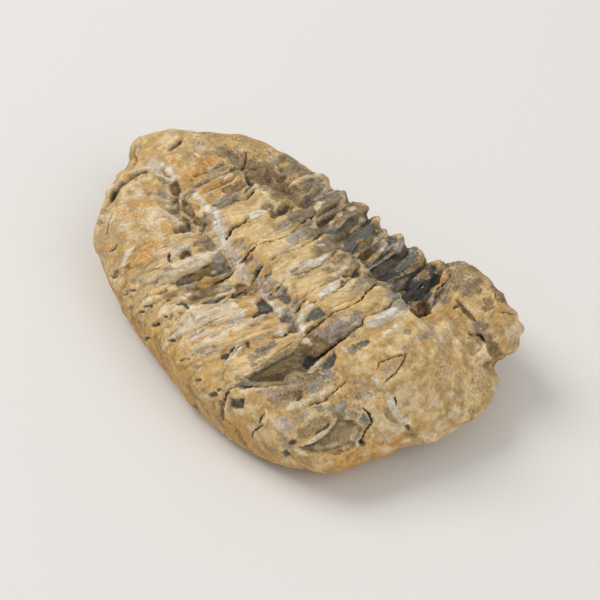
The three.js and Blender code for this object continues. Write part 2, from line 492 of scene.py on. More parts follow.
def stains(tone: Tone, radius: float, strength: float, *places: Place) -> tuple[Spot, ...]:
    """Round stains of one kind, with no relief, on every surface that lies along the lean."""
    return tuple(
        Spot(((x, y), (x, y + SPECK)), tone, 0.0, radius, strength, through=True) for x, y in places
    )


@dataclass(frozen=True)
class Shove:
    """A sideways shift of the stone's edge: the whole thickness moves, so the outline changes.

    Attributes:
        x: Its middle in the leaning plan, millimetres.
        y: The same, across the body.
        radius: How far it reaches, millimetres.
        along: How far it moves the stone along X, millimetres.
        across: How far it moves the stone along Y, millimetres.
    """

    x: float
    y: float
    radius: float
    along: float
    across: float


SHOVES: tuple[Shove, ...] = (
    # The front of the head: the notch over the eye, the eye, the notch below it, the glabella's nose.
    Shove(39.4, 24.6, 3.4, -0.3, -0.8),
    Shove(45.9, 21.0, 2.6, 0.6, 0.85),
    Shove(53.2, 15.0, 3.0, -1.0, 0.1),
    Shove(53.2, 11.8, 3.6, -1.2, -0.6),
    Shove(54.6, 6.2, 6.4, 1.1, 1.6),
    Shove(58.0, 1.6, 6.4, 0.9, 0.2),
    Shove(59.4, -13.2, 5.6, -1.2, 0.4),
    Shove(55.3, -26.1, 6.0, 0.9, -0.6),
    # The tips of the far plates.
    Shove(-9.9, 18.9, 2.2, -0.3, 0.5),
    Shove(1.6, 19.0, 2.2, 0.5, 0.6),
    Shove(5.4, 18.8, 1.8, 0.2, -0.6),
    Shove(8.4, 19.2, 2.6, -0.4, -1.1),
    Shove(11.4, 19.2, 1.8, 0.8, -0.8),
    Shove(14.0, 19.2, 1.8, -0.6, 0.4),
    Shove(21.2, 18.3, 1.9, -0.7, 1.0),
    # The tail: the notch where its lip starts, its near edge and its tip.
    Shove(-37.4, -12.4, 4.0, 1.3, 1.3),
    Shove(-20.7, -27.7, 8.0, -0.4, -0.6),
    Shove(-42.0, -1.2, 4.4, 1.1, -0.7),
    Shove(-41.0, -7.4, 2.6, -0.5, 0.0),
    Shove(-27.7, 12.3, 6.0, -0.5, 0.4),
)

TAIL_MARKS: tuple[Mark, ...] = (
    # The split that runs round the near side of the tail, with pale lips.
    Line(((-31.4, -8.5), (-32.3, -12), (-32.1, -15), (-31.4, -17.8), (-30.2, -20)),
        PALE, -0.3, 1.1, 0.7),
    Line(((-31.2, -9.6), (-31.8, -12.5), (-31.2, -15), (-30.7, -17.5), (-29.5, -19.5), (-28, -21),
        (-26.6, -22.6)), CAVITY, 1.5, 0.5, 1.0),
    crack(((-31.3, -9.8), (-31.9, -12.5), (-31.2, -15), (-30.7, -17.5), (-29.5, -19.5), (-28, -21),
        (-26.6, -22.6)), 0.5, 0.6, 0.75),
    # The slot and the ticks on the tail's tip.
    Line(((-35.9, 1.6), (-35, -0.6), (-33.8, -2.6)), CAVITY, 1.4, 0.5, 0.85),
    crack(((-30.2, 0.7), (-29.4, 0.6), (-28.4, 0.5)), 0.35, 0.7, 0.8),
    # The orange ribs of the tail's axis, and the grey grooves between them.
    patch(ORANGE, 0.7, 0.9, (-28.6, 4), (-25.6, 4), (-24, 1), (-23, -2), (-22, -6.4), (-24.4, -5.4),
        (-26.6, -2.2), (-28.4, 0.6)),
    Area(((-25.6, 4.6), (-22.4, 5), (-22.2, -2), (-24, 0), (-25, 2)), DUN, 0.2, 0.6, 0.6),
    Line(((-26.3, -1.6), (-24.5, -4), (-22.3, -6.2)), ORANGE, -0.35, 0.7, 1.0),
    Line(((-21.8, 5.5), (-21.7, 0), (-21.4, -5.4)), GREY, 0.6, 0.42, 0.9),
    Line(((-20.3, 6), (-20, 3), (-19.7, 0.4)), PALE, -0.35, 0.6, 0.7),
    Line(((-20, 0.8), (-19.8, -2), (-19.5, -5)), ORANGE, -0.4, 0.8, 1.0),
    Area(((-18.6, 4.4), (-16, 4.4), (-15.2, 2), (-15.6, -1), (-18.2, -1)), BROWN, 0.3, 0.5, 0.75),
    Line(((-17.6, -1), (-17, -3.4), (-16.4, -6)), ORANGE, -0.2, 0.8, 0.8),
    Line(((-15.1, 1), (-14.9, -2), (-14.6, -5)), GREY, 0.55, 0.5, 1.0),
    Line(((-24.4, 5), (-24, 0), (-24, -3)), BROWN, 0.35, 0.3, 0.5),
    Area(((-18.6, 6.2), (-16.2, 6), (-14.4, 4), (-13.9, 1.8), (-15, 3.6), (-16.6, 4.8), (-18.4, 5)),
        CAVITY, 0.8, 0.35, 0.9),
    Area(((-15.4, 5.4), (-14.4, 5.4), (-13.6, 2.2), (-14.4, 3.4)), PALE, -0.3, 0.3, 0.7),
    crack(((-13.8, 4.4), (-12.9, 2.6), (-12.2, 0.6)), 0.4, 1.1),
    hole(-13.4, -0.5, 0.35, 0.5),
    # The far furrow's brown pits and cracks.
    Area(((-28.6, 7.6), (-25, 8), (-22.6, 7), (-24, 5.8), (-27.6, 6)), CAVITY, 0.4, 0.6, 0.9),
    crack(((-25.2, 10), (-23.5, 8.5), (-21, 6.5)), 0.34, 0.8, 0.8),
    Spot(((-21.2, 6.2), (-19.4, 6.1)), CAVITY, 0.7, 0.7, 0.85),
    Spot(((-18, 5.8), (-16.8, 5.3)), SHELL, 0.4, 0.7, 0.8),
    Area(((-22.6, -7.8), (-20, -9.6), (-16, -11.4), (-11.2, -10.6), (-9.8, -9), (-13.6, -12.6),
        (-18.4, -12.4), (-22, -10.6)), OLIVE, 0.4, 0.5, 0.8),
    blot(-12.5, 6.4, SHELL, 0.8, 0.9),
    blot(-16.4, 8.7, SHELL, 0.8, 0.7),
    Line(((-18.6, 10.4), (-16.6, 8.9), (-14.6, 8.2)), BROWN, 0.4, 0.4, 0.9),
    Spot(((-14.8, 11.6), (-14.1, 10.5)), BROWN, 0.8, 0.8, 1.0),
    Spot(((-10.8, 9.7), (-9.6, 9.5)), SHELL, 0.5, 0.6, 0.6),
    Area(((-32, 12.6), (-22, 14.4), (-20.6, 10.5), (-26, 10), (-31, 10)), OLIVE, -0.2, 1.2, 0.5),
    Line(((-19.4, 15.4), (-18.4, 13), (-16.4, 12)), DUN, 0.3, 0.6, 0.7),
    patch(VIOLET, 1.2, 0.4, (-35, 5), (-30, 5), (-29, 2), (-31, 0.4), (-34, 2)),
    patch(BROWN, 1.6, 0.42, (-36, 8), (-30, 13), (-24, 14.6), (-20, 14), (-21, 10), (-30, 8.4),
        (-34, 5)),
    *stains(BROWN, 1.3, 0.7, (-24.4, 9), (-27, 5.4), (-24, 6), (-21.4, 4.6), (-18.4, 6), (-12.4, 6.4),
        (-9.6, 6.4), (-6, 7), (-8, 3.4), (-5.4, 4)),
    *stains(DUN, 1.4, 0.55, (-29, 8), (-36, 6.6), (-34.6, 9), (-31.4, -13), (-26.8, -8), (-26, -23),
        (-24, -25.6)),
    *stains(ORANGE, 1.2, 0.6, (-18, 13.8), (-22, 14.4), (-7.6, 11.6), (-19.6, -5.2), (-15.4, -5.8),
        (-12, -6.4), (-27, -7), (-32, -7.4), (-32, -13.6)),
    *stains(PALE, 1.3, 0.5, (-17, 11.4), (-11.6, 10.8), (-21.2, 9.6), (-31, 3), (-27, -1)),
    *stains(DUN, 1.4, 0.5, (-27, 7.4), (-28, 4.6), (-20, 4.8), (-12.8, 5.6), (-12.4, -7.6),
        (-20, -7.4)),
    *stains(DUN, 1.2, 0.5, (-6, 6), (-7.8, 2.6), (4.6, 8.8), (16, 9.4), (10, 8.4), (22.6, 8.4),
        (26.4, 6.4)),
    *stains(ORANGE, 1.3, 0.55, (-23.6, 12.6), (-24, 9.8), (-28.6, 8.4), (-13, 13.4), (-11.8, 12),
        (-6.8, 12)),
    # The white and pink crust where the near furrow starts, and the brown streaks below it.
    Area(((-34.5, -5.8), (-30, -5.2), (-25.4, -5), (-25.4, -8), (-28.5, -9), (-31.5, -9), (-33.8, -7)),
        PINK, -0.15, 0.8, 0.7),
    Line(((-33, -6.2), (-30, -5.8), (-27, -6.2)), CALCITE, -0.04, 0.6, 0.66),
    Line(((-31.6, -8.8), (-29, -8.2), (-26, -8.6), (-23.4, -8.4)), CALCITE, -0.06, 0.6, 0.66),
    Line(((-29.6, -6.8), (-28, -7.2), (-26.6, -7)), BROWN, 0.2, 0.3, 0.7),
    Area(((-25.4, -6.4), (-23, -7), (-21, -8.8), (-22.4, -9.6), (-25, -8.4)), BROWN, 0.5, 0.5, 0.9),
    Line(((-20.6, -5.6), (-18, -5.9), (-15, -6), (-13, -6.4)), CALCITE, -0.06, 0.7, 0.66),
    Area(((-19.8, -8.8), (-17, -8.2), (-14, -9.4), (-11.4, -9.8), (-11.2, -11.6), (-14.6, -10.6),
        (-18, -10.8)), BROWN, 0.4, 0.5, 0.75),
    Area(((-20.8, -9.4), (-18.4, -10.8), (-16.4, -12.2), (-18.4, -12.8), (-20.6, -11.4)),
        CAVITY, 0.8, 0.4, 0.7),
    Area(((-25.2, -10), (-21.6, -10.2), (-21.4, -11.8), (-24.6, -12)), GREY, 0.2, 0.5, 0.7),
    blot(-16.4, -8, ORANGE, 1.0, 0.9),
    blot(-17.6, -9.2, ORANGE, 0.7, 0.7),
    Area(((-13.7, -11.9), (-12, -12.2), (-10.9, -12.8), (-11.4, -14), (-11.8, -15.4), (-13.3, -14.8)),
        CAVITY, 1.0, 0.3, 0.9),
    blot(-12.2, -13.8, ORANGE, 0.8, 0.9),
    blot(-10.5, -13.5, CALCITE, 0.9, 0.9),
    Area(((-12.6, -8), (-10, -9), (-8.6, -11.6), (-10.6, -11), (-12.4, -9.4)), DUN, 0.3, 0.5, 0.9),
    crack(((-12.1, -7.9), (-10.9, -9.5), (-9.7, -11.4)), 0.3, 0.8),
    # The smooth pale shield of the near side of the tail.
    patch(PALE, 2.0, 0.5, (-30, -13), (-26, -11.5), (-20, -13), (-13.5, -16.5), (-9, -16.5),
        (-8.5, -22), (-14, -24.5), (-22, -23.5), (-28, -19)),
    *stains(ORANGE, 2.2, 0.42, (-22.6, -15), (-22.6, -20), (-17.4, -20.6), (-11, -19.4), (-11, -30),
        (-1.6, -27.4)),
    *stains(PALE, 1.4, 0.5, (-17.4, -14.6), (-25, -12.6), (-32, -1.4)),
    *stains(PALE, 1.0, 0.65, (-20, -11.2), (-17.6, -12.2), (-15.4, -12.8), (-24.4, 1)),
    *stains(ORANGE, 2.0, 0.5, (-20.4, -18.4), (-17.6, -24), (-24.4, -17), (-16.4, -28.4), (-12.4, -21)),
    *stains(GREY, 1.2, 0.4, (-15.4, -13.4), (-20.4, -26), (-19.4, -23), (-28, -6), (-38.6, 1)),
    Line(((-13.4, -23.8), (-13, -25.5), (-11.5, -27), (-10, -28.5), (-8.7, -29.9)),
        CALCITE, -0.05, 0.35, 0.66),
    crack(((-15.7, -26.4), (-15.2, -27.4), (-15, -28.7)), 0.32, 0.6),
    Line(((-10, -30.4), (-9.2, -31.4), (-8.2, -32.6)), BROWN, 0.5, 0.7, 0.8),
    crack(((-24.5, -22.2), (-22, -24.6), (-19.5, -26.4)), 0.18, 0.4, 0.6),
)

SOFT_MARKS: tuple[Mark, ...] = (
    # Broad stains that lie under everything else: the brown of the tail's far furrow, and the dun
    # far halves of the rings.
    patch(BROWN, 1.0, 0.85, (-30, 7.6), (-24, 8.2), (-21.5, 10.4), (-18, 13), (-13, 14.4), (-8.5, 12),
        (-8.5, 8), (-14, 5.6), (-19, 5), (-24, 5.8), (-29, 6)),
    patch(DUN, 1.2, 0.8, (-21, 16), (-12.5, 17.4), (-9, 12), (-14, 10.6), (-20, 12)),
    patch(BROWN, 0.8, 0.85, (-13, 12.8), (-9, 12), (-5, 12), (-4.6, 9.4), (-5.2, 7.8), (-9, 8),
        (-13, 9)),
    patch(DUN, 0.9, 0.75, (-15.8, 2), (-12.4, 1.6), (-12.2, -4.8), (-14.9, -5.4)),
    patch(DUN, 0.9, 0.85, (-4.2, 9.8), (-1.2, 9.8), (-0.5, 6), (-1, 3.4), (-3.8, 4.6), (-4.2, 6)),
    patch(DUN, 0.9, 0.85, (-0.4, 10), (3.6, 9.8), (4.4, 6), (3.8, 1), (1.4, 0.6), (0.2, 4)),
    patch(DUN, 0.9, 0.8, (4.8, 9.6), (9.2, 9.8), (10.2, 6), (9.6, 2.4), (7.2, 2.6), (5.4, 5)),
    patch(DUN, 1.1, 0.6, (10.6, 9.6), (15.2, 9.2), (15.8, 6), (14, 0.6), (12, 1), (11.2, 5)),
    patch(DUN, 1.1, 0.6, (17.4, 9), (21.4, 8.6), (21.8, 5), (21.4, 1.6), (19.4, 2), (18, 5)),
    patch(DUN, 0.9, 0.7, (23, 9), (26.6, 9), (27, 6), (25.4, 6.4), (23.6, 7.6)),
    patch(DUN, 1.2, 0.8, (33.6, -12.6), (37.4, -13), (38.4, -19), (38, -26), (35, -26.4), (33.4, -22)),
    patch(DUN, 1.0, 0.5, (24.6, 26), (30.6, 26), (32, 20), (31, 16), (28, 17), (25, 20.6)),
    patch(DUN, 1.0, 0.35, (39, 25), (43.4, 23.6), (43.4, 20), (39.6, 19.4)),
    patch(BROWN, 1.4, 0.35, (50, 10.4), (56, 10), (58, 5), (55, 3), (51, 6)),
    # The rusty lower edge of the near side and of the head's front.
    patch(ORANGE, 1.4, 0.45, (-8, -33), (3, -33.4), (12, -31.6), (20, -31.4), (30, -34), (46, -35),
        (52, -33), (56, -28), (60, -22), (62, -30), (50, -42), (20, -42), (-8, -38)),
    patch(ORANGE, 1.2, 0.6, (54.4, -13), (60, -12), (61, -22), (56, -29), (53.6, -25), (54.6, -19)),
    patch(ORANGE, 2.4, 0.5, (-24, -20), (-18, -17), (-9, -18), (-6, -28), (-10, -32), (-14, -26)),
    patch(GREY, 1.6, 0.4, (-25, -24), (-20, -22), (-15, -25), (-13, -29), (-20, -31)),
    # The bright golden tops of the rings, and the plates of the near side.
    patch(GOLD, 1.0, 0.7, (-13, -1), (-8, 2), (-7.6, -4), (-11, -5)),
    patch(GOLD, 0.8, 0.9, (-5.8, 1), (-1, 1), (0.2, -1), (-0.6, -4.6), (-4.6, -5)),
    patch(GOLD, 0.8, 0.8, (2, 0), (4.4, -1), (4.2, -4.6), (1.4, -5)),
    patch(GOLD, 0.8, 0.9, (5.6, 3), (9, 2), (9.4, -3), (9, -6), (5.6, -4)),
    patch(GOLD, 0.9, 0.8, (11.4, 1), (14, 0), (17, -1.6), (17.6, -4), (15, -6), (11.6, -4.6)),
    patch(GOLD, 0.9, 0.8, (18.6, 3), (22, 1), (22.6, -3), (20, -4.4), (19.2, -1)),
    patch(GOLD, 0.8, 0.5, (12, 8), (15, 6), (14, 3), (12, 4)),
    patch(GOLD, 1.2, 0.55, (30, 8), (36, 9), (37, 3), (33.6, 1), (31, 2)),
    patch(GOLD, 1.6, 0.5, (48, 7), (54, 6), (56, 1), (50, 1)),
    patch(GOLD, 0.8, 0.9, (41, -30.4), (45, -30.6), (45.4, -33.4), (41.8, -33.6)),
    patch(GOLD, 1.2, 0.6, (10, -17), (16, -17), (19, -24), (20, -30), (15, -32), (10.6, -30)),
    patch(PALE, 1.5, 0.35, (-10, -14), (-5.4, -14), (-5, -22), (-6, -28), (-10, -26)),
    patch(PALE, 0.8, 0.5, (28.6, 8.6), (30.4, 8), (30.6, 1), (29.4, -2.4), (28.4, 1)),
)

AXIS_MARKS: tuple[Mark, ...] = (
    # The deep dark pit on the far side of the axis, and the white streak that leads from it.
    Area(((-7.3, 7.6), (-5.6, 7.8), (-4.6, 6.8), (-4.2, 4.2), (-5, 2.2), (-6.2, 2.6), (-7.3, 3.8)),
        CAVITY, 1.9, 0.35, 1.0),
    blot(-5.9, 4, BROWN, 0.55, 0.4),
    vein(((-7, 2.2), (-7.5, 0.2), (-7.9, -1.4)), 0.85),
    crack(((-7.9, -1.2), (-7.1, -3), (-6.8, -5), (-6, -7), (-5.2, -8.6)), 0.42, 1.3),
    # Dark notches where the rings end at the far furrow.
    crack(((-1.8, 9.8), (-0.9, 7.4), (-0.4, 5.6)), 0.45, 1.1),
    crack(((4, 8.2), (4.2, 6.8), (4.5, 4.9)), 0.42, 1.1),
    crack(((9.5, 8.4), (9.9, 6.6), (10.4, 4.6)), 0.36, 1.0),
    Area(((15.2, 8.2), (16.6, 7.2), (17.8, 5.8), (17.1, 4.6), (15.9, 5.8)), CAVITY, 1.4, 0.3, 1.0),
    hole(16.1, 4.1, 0.35, 0.6),
    hole(17, 2.8, 0.3, 0.6, 0.1),
    crack(((21.3, 7.6), (21.9, 4.8), (23, 0.9)), 0.36, 1.1),
    crack(((26.8, 8.8), (26.9, 6.6), (27.8, 4.3)), 0.42, 1.2),
    # The rear edges of the rings, where each lies over the ring behind it.
    crack(((-0.4, 5.6), (0.7, 3), (0.9, 0), (0.3, -2.6), (-0.3, -4.6)), 0.22, 0.6, 0.55),
    crack(((4.5, 4.9), (4.9, 3.2), (5.2, 1.2), (5, -1), (4.6, -3.4)), 0.2, 0.5, 0.45),
    crack(((10.4, 4.6), (11.1, 2), (11, -1), (10.6, -4), (10.5, -5.1)), 0.22, 0.6, 0.5),
    crack(((17.2, 4.4), (17.6, 2.4), (18.6, -1), (19, -4)), 0.22, 0.6, 0.5),
    crack(((23, 0.9), (23.2, -1.2), (22.8, -3.6)), 0.25, 0.6, 0.7),
    crack(((27.8, 4.3), (27.5, 2.2), (27.4, 0.4)), 0.25, 0.6, 0.7),
    crack(((-6.6, 1.4), (-6.4, -1.2), (-6.9, -3.4)), 0.2, 0.5, 0.5),
    # White and greenish calcite streaks across the rings.
    vein(((5.1, 2.2), (4.3, 0.2), (3.6, -2.2), (4.6, -3.4)), 0.6),
    vein(((10.2, 5), (10.5, 2), (9.7, 0), (9.3, -3), (10.8, -5.6)), 0.75),
    vein(((14.2, 5.4), (16.3, 2.2), (17.5, -0.8), (18.9, -3.4)), 0.8),
    vein(((28.9, 8), (29.4, 5), (29.8, 1), (29.5, -1.2)), 1.0, 0.75),
    vein(((31.5, 5.2), (32.4, 1.6), (33.7, -2.2)), 0.42),
    vein(((27.9, 5), (27.5, 2)), 0.4),
    vein(((12.8, 6.2), (12.2, 1.4)), 0.5, 0.4),
    blot(9.8, -3, GREY, 0.55, 0.9, 0.5),
    Area(((26, 9), (30, 9), (30.6, 6.2), (28, 5), (26.4, 6)), GREY, -0.1, 0.6, 0.6),
    patch(GREY, 0.9, 0.7, (0.6, 5.2), (3.8, 4.4), (3.6, 0.6), (1.6, 0.4)),
    patch(GREY, 0.9, 0.5, (19.4, 6.8), (21.2, 6.2), (21.8, 2), (20.2, 1.4)),
    blot(8.7, 0.4, BROWN, 0.8, 0.35, 1.2),
    blot(-1.5, 2.4, GREY, 1.3, 0.5, 1.2),
    # Cracks on the near side of the axis, where each ring dives under the one before it.
    crack(((-0.3, -4.6), (0.4, -6.8), (1.3, -8.6), (2.1, -10.3)), 0.36, 1.0),
    crack(((4.5, -3.4), (4.9, -5.2)), 0.25, 0.6, 0.8),
    crack(((5, -6.9), (6, -8.8), (7.1, -10), (8.6, -12.8)), 0.45, 1.2),
    crack(((10.5, -5.1), (11.3, -7.2), (13.2, -10.8)), 0.3, 0.9),
    crack(((18.9, -4.4), (19, -6.2)), 0.25, 0.6, 0.8),
    crack(((17.1, -5.8), (18.4, -8.1), (19.3, -9.7)), 0.4, 1.1),
    crack(((22.7, -3.6), (23.5, -6.5), (24.5, -9.5), (25.4, -11.7)), 0.4, 1.3),
    # The flat violet-grey ring before the head, and the long crack behind the head.
    patch(VIOLET, 0.5, 0.85, (24.8, 0.4), (27.4, 0.4), (28.4, -3), (29.6, -7), (31, -11),
        (31.8, -13.6), (30.4, -14.8), (26.6, -12.8), (25.4, -9)),
    patch(GREY, 0.5, 0.6, (25.6, -5.4), (28.2, -5.2), (28.8, -9), (26, -9.6)),
    *stains(ORANGE, 0.8, 0.5, (25.4, -8), (24.8, -5), (29.4, -10.6)),
    *stains(PALE, 0.9, 0.6, (25, -1.4), (25, -3.4), (10.8, -2), (15.8, 2.6), (7, 5), (13.2, 3.4),
        (-13.6, 1)),
    Line(((26.2, 4.6), (26.4, 1.4), (27.4, -1.6)), ORANGE, 0.0, 0.7, 0.5),
    crack(((27.4, 0.4), (28.3, -2), (29, -5), (30, -8), (30.8, -11), (31.9, -13.8)), 0.46, 1.6),
    # Blue-grey shell showing in pockets beside the near furrow.
    *stains(GREY, 1.2, 0.5, (-0.6, -6.6), (3.4, -7), (6, -7.8), (10.4, -8.2), (16.4, -8.6),
        (21.6, -18)),
    *stains(PINK, 1.2, 0.5, (9.4, -13.6), (13.6, -13.8), (20, -12.8), (16.6, -13.4), (25, -12.6)),
    *stains(VIOLET, 0.8, 0.7, (6, -9.8), (9.6, -10.2), (11.6, -10.4), (13.6, -10.8)),
    *stains(GREY, 1.2, 0.6, (5, -8), (8.6, -8.6), (12.4, -8), (17, -7.6), (21.6, -8.6), (14, -9.4)),
    Area(((-3.4, -5.4), (-2.4, -6), (-1.4, -8), (-1.2, -9.4), (-2.8, -9), (-3.9, -7.4)),
        GREY, 0.3, 0.3, 0.8),
    Line(((-3.4, -5.8), (-3.3, -7.4), (-2.6, -8.8)), ORANGE, 0.0, 0.4, 0.9),
    Area(((1.2, -6.8), (2.5, -7.3), (3.7, -9.4), (2.1, -9.9), (1.2, -8.5)), SHELL, 0.3, 0.3, 0.65),
    Line(((1.2, -7), (1.4, -8.4), (2.2, -9.6)), ORANGE, 0.0, 0.3, 0.8),
    Area(((7.3, -6.4), (8.1, -6.8), (9.1, -9), (7.9, -9.5), (7.3, -8)), SHELL, 0.3, 0.3, 0.65),
    Line(((6.8, -6.4), (6.9, -8.2), (7.6, -9.4)), ORANGE, 0.0, 0.4, 0.9),
    Area(((12.5, -6.4), (14, -7.5), (16.4, -8.2), (17, -9.8), (13.8, -10.2), (12.9, -8.6)),
        SHELL, 0.3, 0.3, 0.62),
    Area(((20.3, -5.1), (22.9, -4.9), (23, -8), (22.5, -9.4), (21.5, -8.8), (20.5, -7)),
        SHELL, 0.3, 0.25, 0.65),
    Line(((19.5, -5.6), (19.9, -8), (21.6, -9.9), (24, -10.8)), CALCITE, -0.08, 0.55, 0.70),
)

VEIN_MARKS: tuple[Mark, ...] = (
    # The fibrous white and pink vein that follows the near furrow.
    Line(((-13.5, -5.4), (-10, -6.6), (-6, -8.2), (-3.6, -9.7), (0, -10), (4, -11), (7, -12.2)),
        PINK, -0.1, 1.5, 0.7),
    Line(((-12.5, -5.6), (-9.5, -7.2), (-6, -8.7), (-2.5, -10.2)), CALCITE, -0.08, 0.6, 0.66),
    Line(((-4.6, -8.9), (-3.2, -12), (-2.4, -13.4)), CALCITE, -0.08, 0.6, 0.57),
    Line(((-1, -10.2), (2.4, -10.8), (6.6, -11.6)), CALCITE, -0.08, 0.5, 0.45),
    Line(((8.4, -12.4), (11, -11.6), (14, -11.4), (17.4, -12.2)), PINK, -0.15, 1.4, 0.7),
    Area(((14.4, -10.8), (17.4, -10.6), (18.4, -12), (16.4, -12.8), (14.6, -12.2)),
        CALCITE, -0.10, 0.4, 0.61),
    Area(((18.7, -10.9), (20, -10.7), (21, -12), (20.2, -12.9), (19, -12.6)), SHELL, 0.7, 0.3, 0.8),
    Area(((20.8, -10.9), (23.9, -12), (22.8, -13.4), (21.8, -12.6)), BROWN, 0.7, 0.3, 0.9),
    Area(((19.8, -13.2), (22.6, -13.4), (22.8, -15), (22.3, -16.8), (21.2, -14.8)),
        CALCITE, -0.04, 0.35, 0.57),
    blot(10.5, -8.6, GREY, 0.9, 0.7),
    patch(GREY, 0.6, 0.6, (17.2, -8.8), (20, -9.6), (24.4, -11.4), (23.6, -13), (19.6, -12.6),
        (17.2, -11)),
    Area(((7.8, -9.6), (10.2, -10), (12, -12), (11.4, -14), (9.4, -14.6), (8, -12.4)),
        BROWN, 0.1, 0.6, 0.6),
    blot(24.6, -9.6, BROWN, 0.8, 0.7, 0.6),
    crack(((22.9, -13.2), (22.8, -15), (22.2, -17.2)), 0.35, 1.0),
    blot(-4.2, -12.3, CAVITY, 0.6, 0.8),
    Area(((-8, -10.4), (-4.6, -11), (-4.2, -13), (-7.4, -13.4)), VIOLET, 0.3, 0.5, 0.6),
    # The pocket with a pink lip behind the first pale ridge.
    Line(((-7.4, -14.4), (-7.7, -16.6), (-7.4, -18.4), (-6.2, -19.8)), PINK, -0.4, 0.75, 0.9),
    Line(((-7.6, -15.4), (-7.6, -17.4)), CALCITE, -0.04, 0.4, 0.57),
    Area(((-6.9, -15.4), (-5, -15.8), (-4.5, -18), (-6, -18.4), (-6.9, -17.4)), BROWN, 0.9, 0.3, 0.9),
    Line(((-7.5, -19.6), (-6.4, -20.6), (-5.5, -20.2)), SHELL, 0.5, 0.3, 0.7),
)

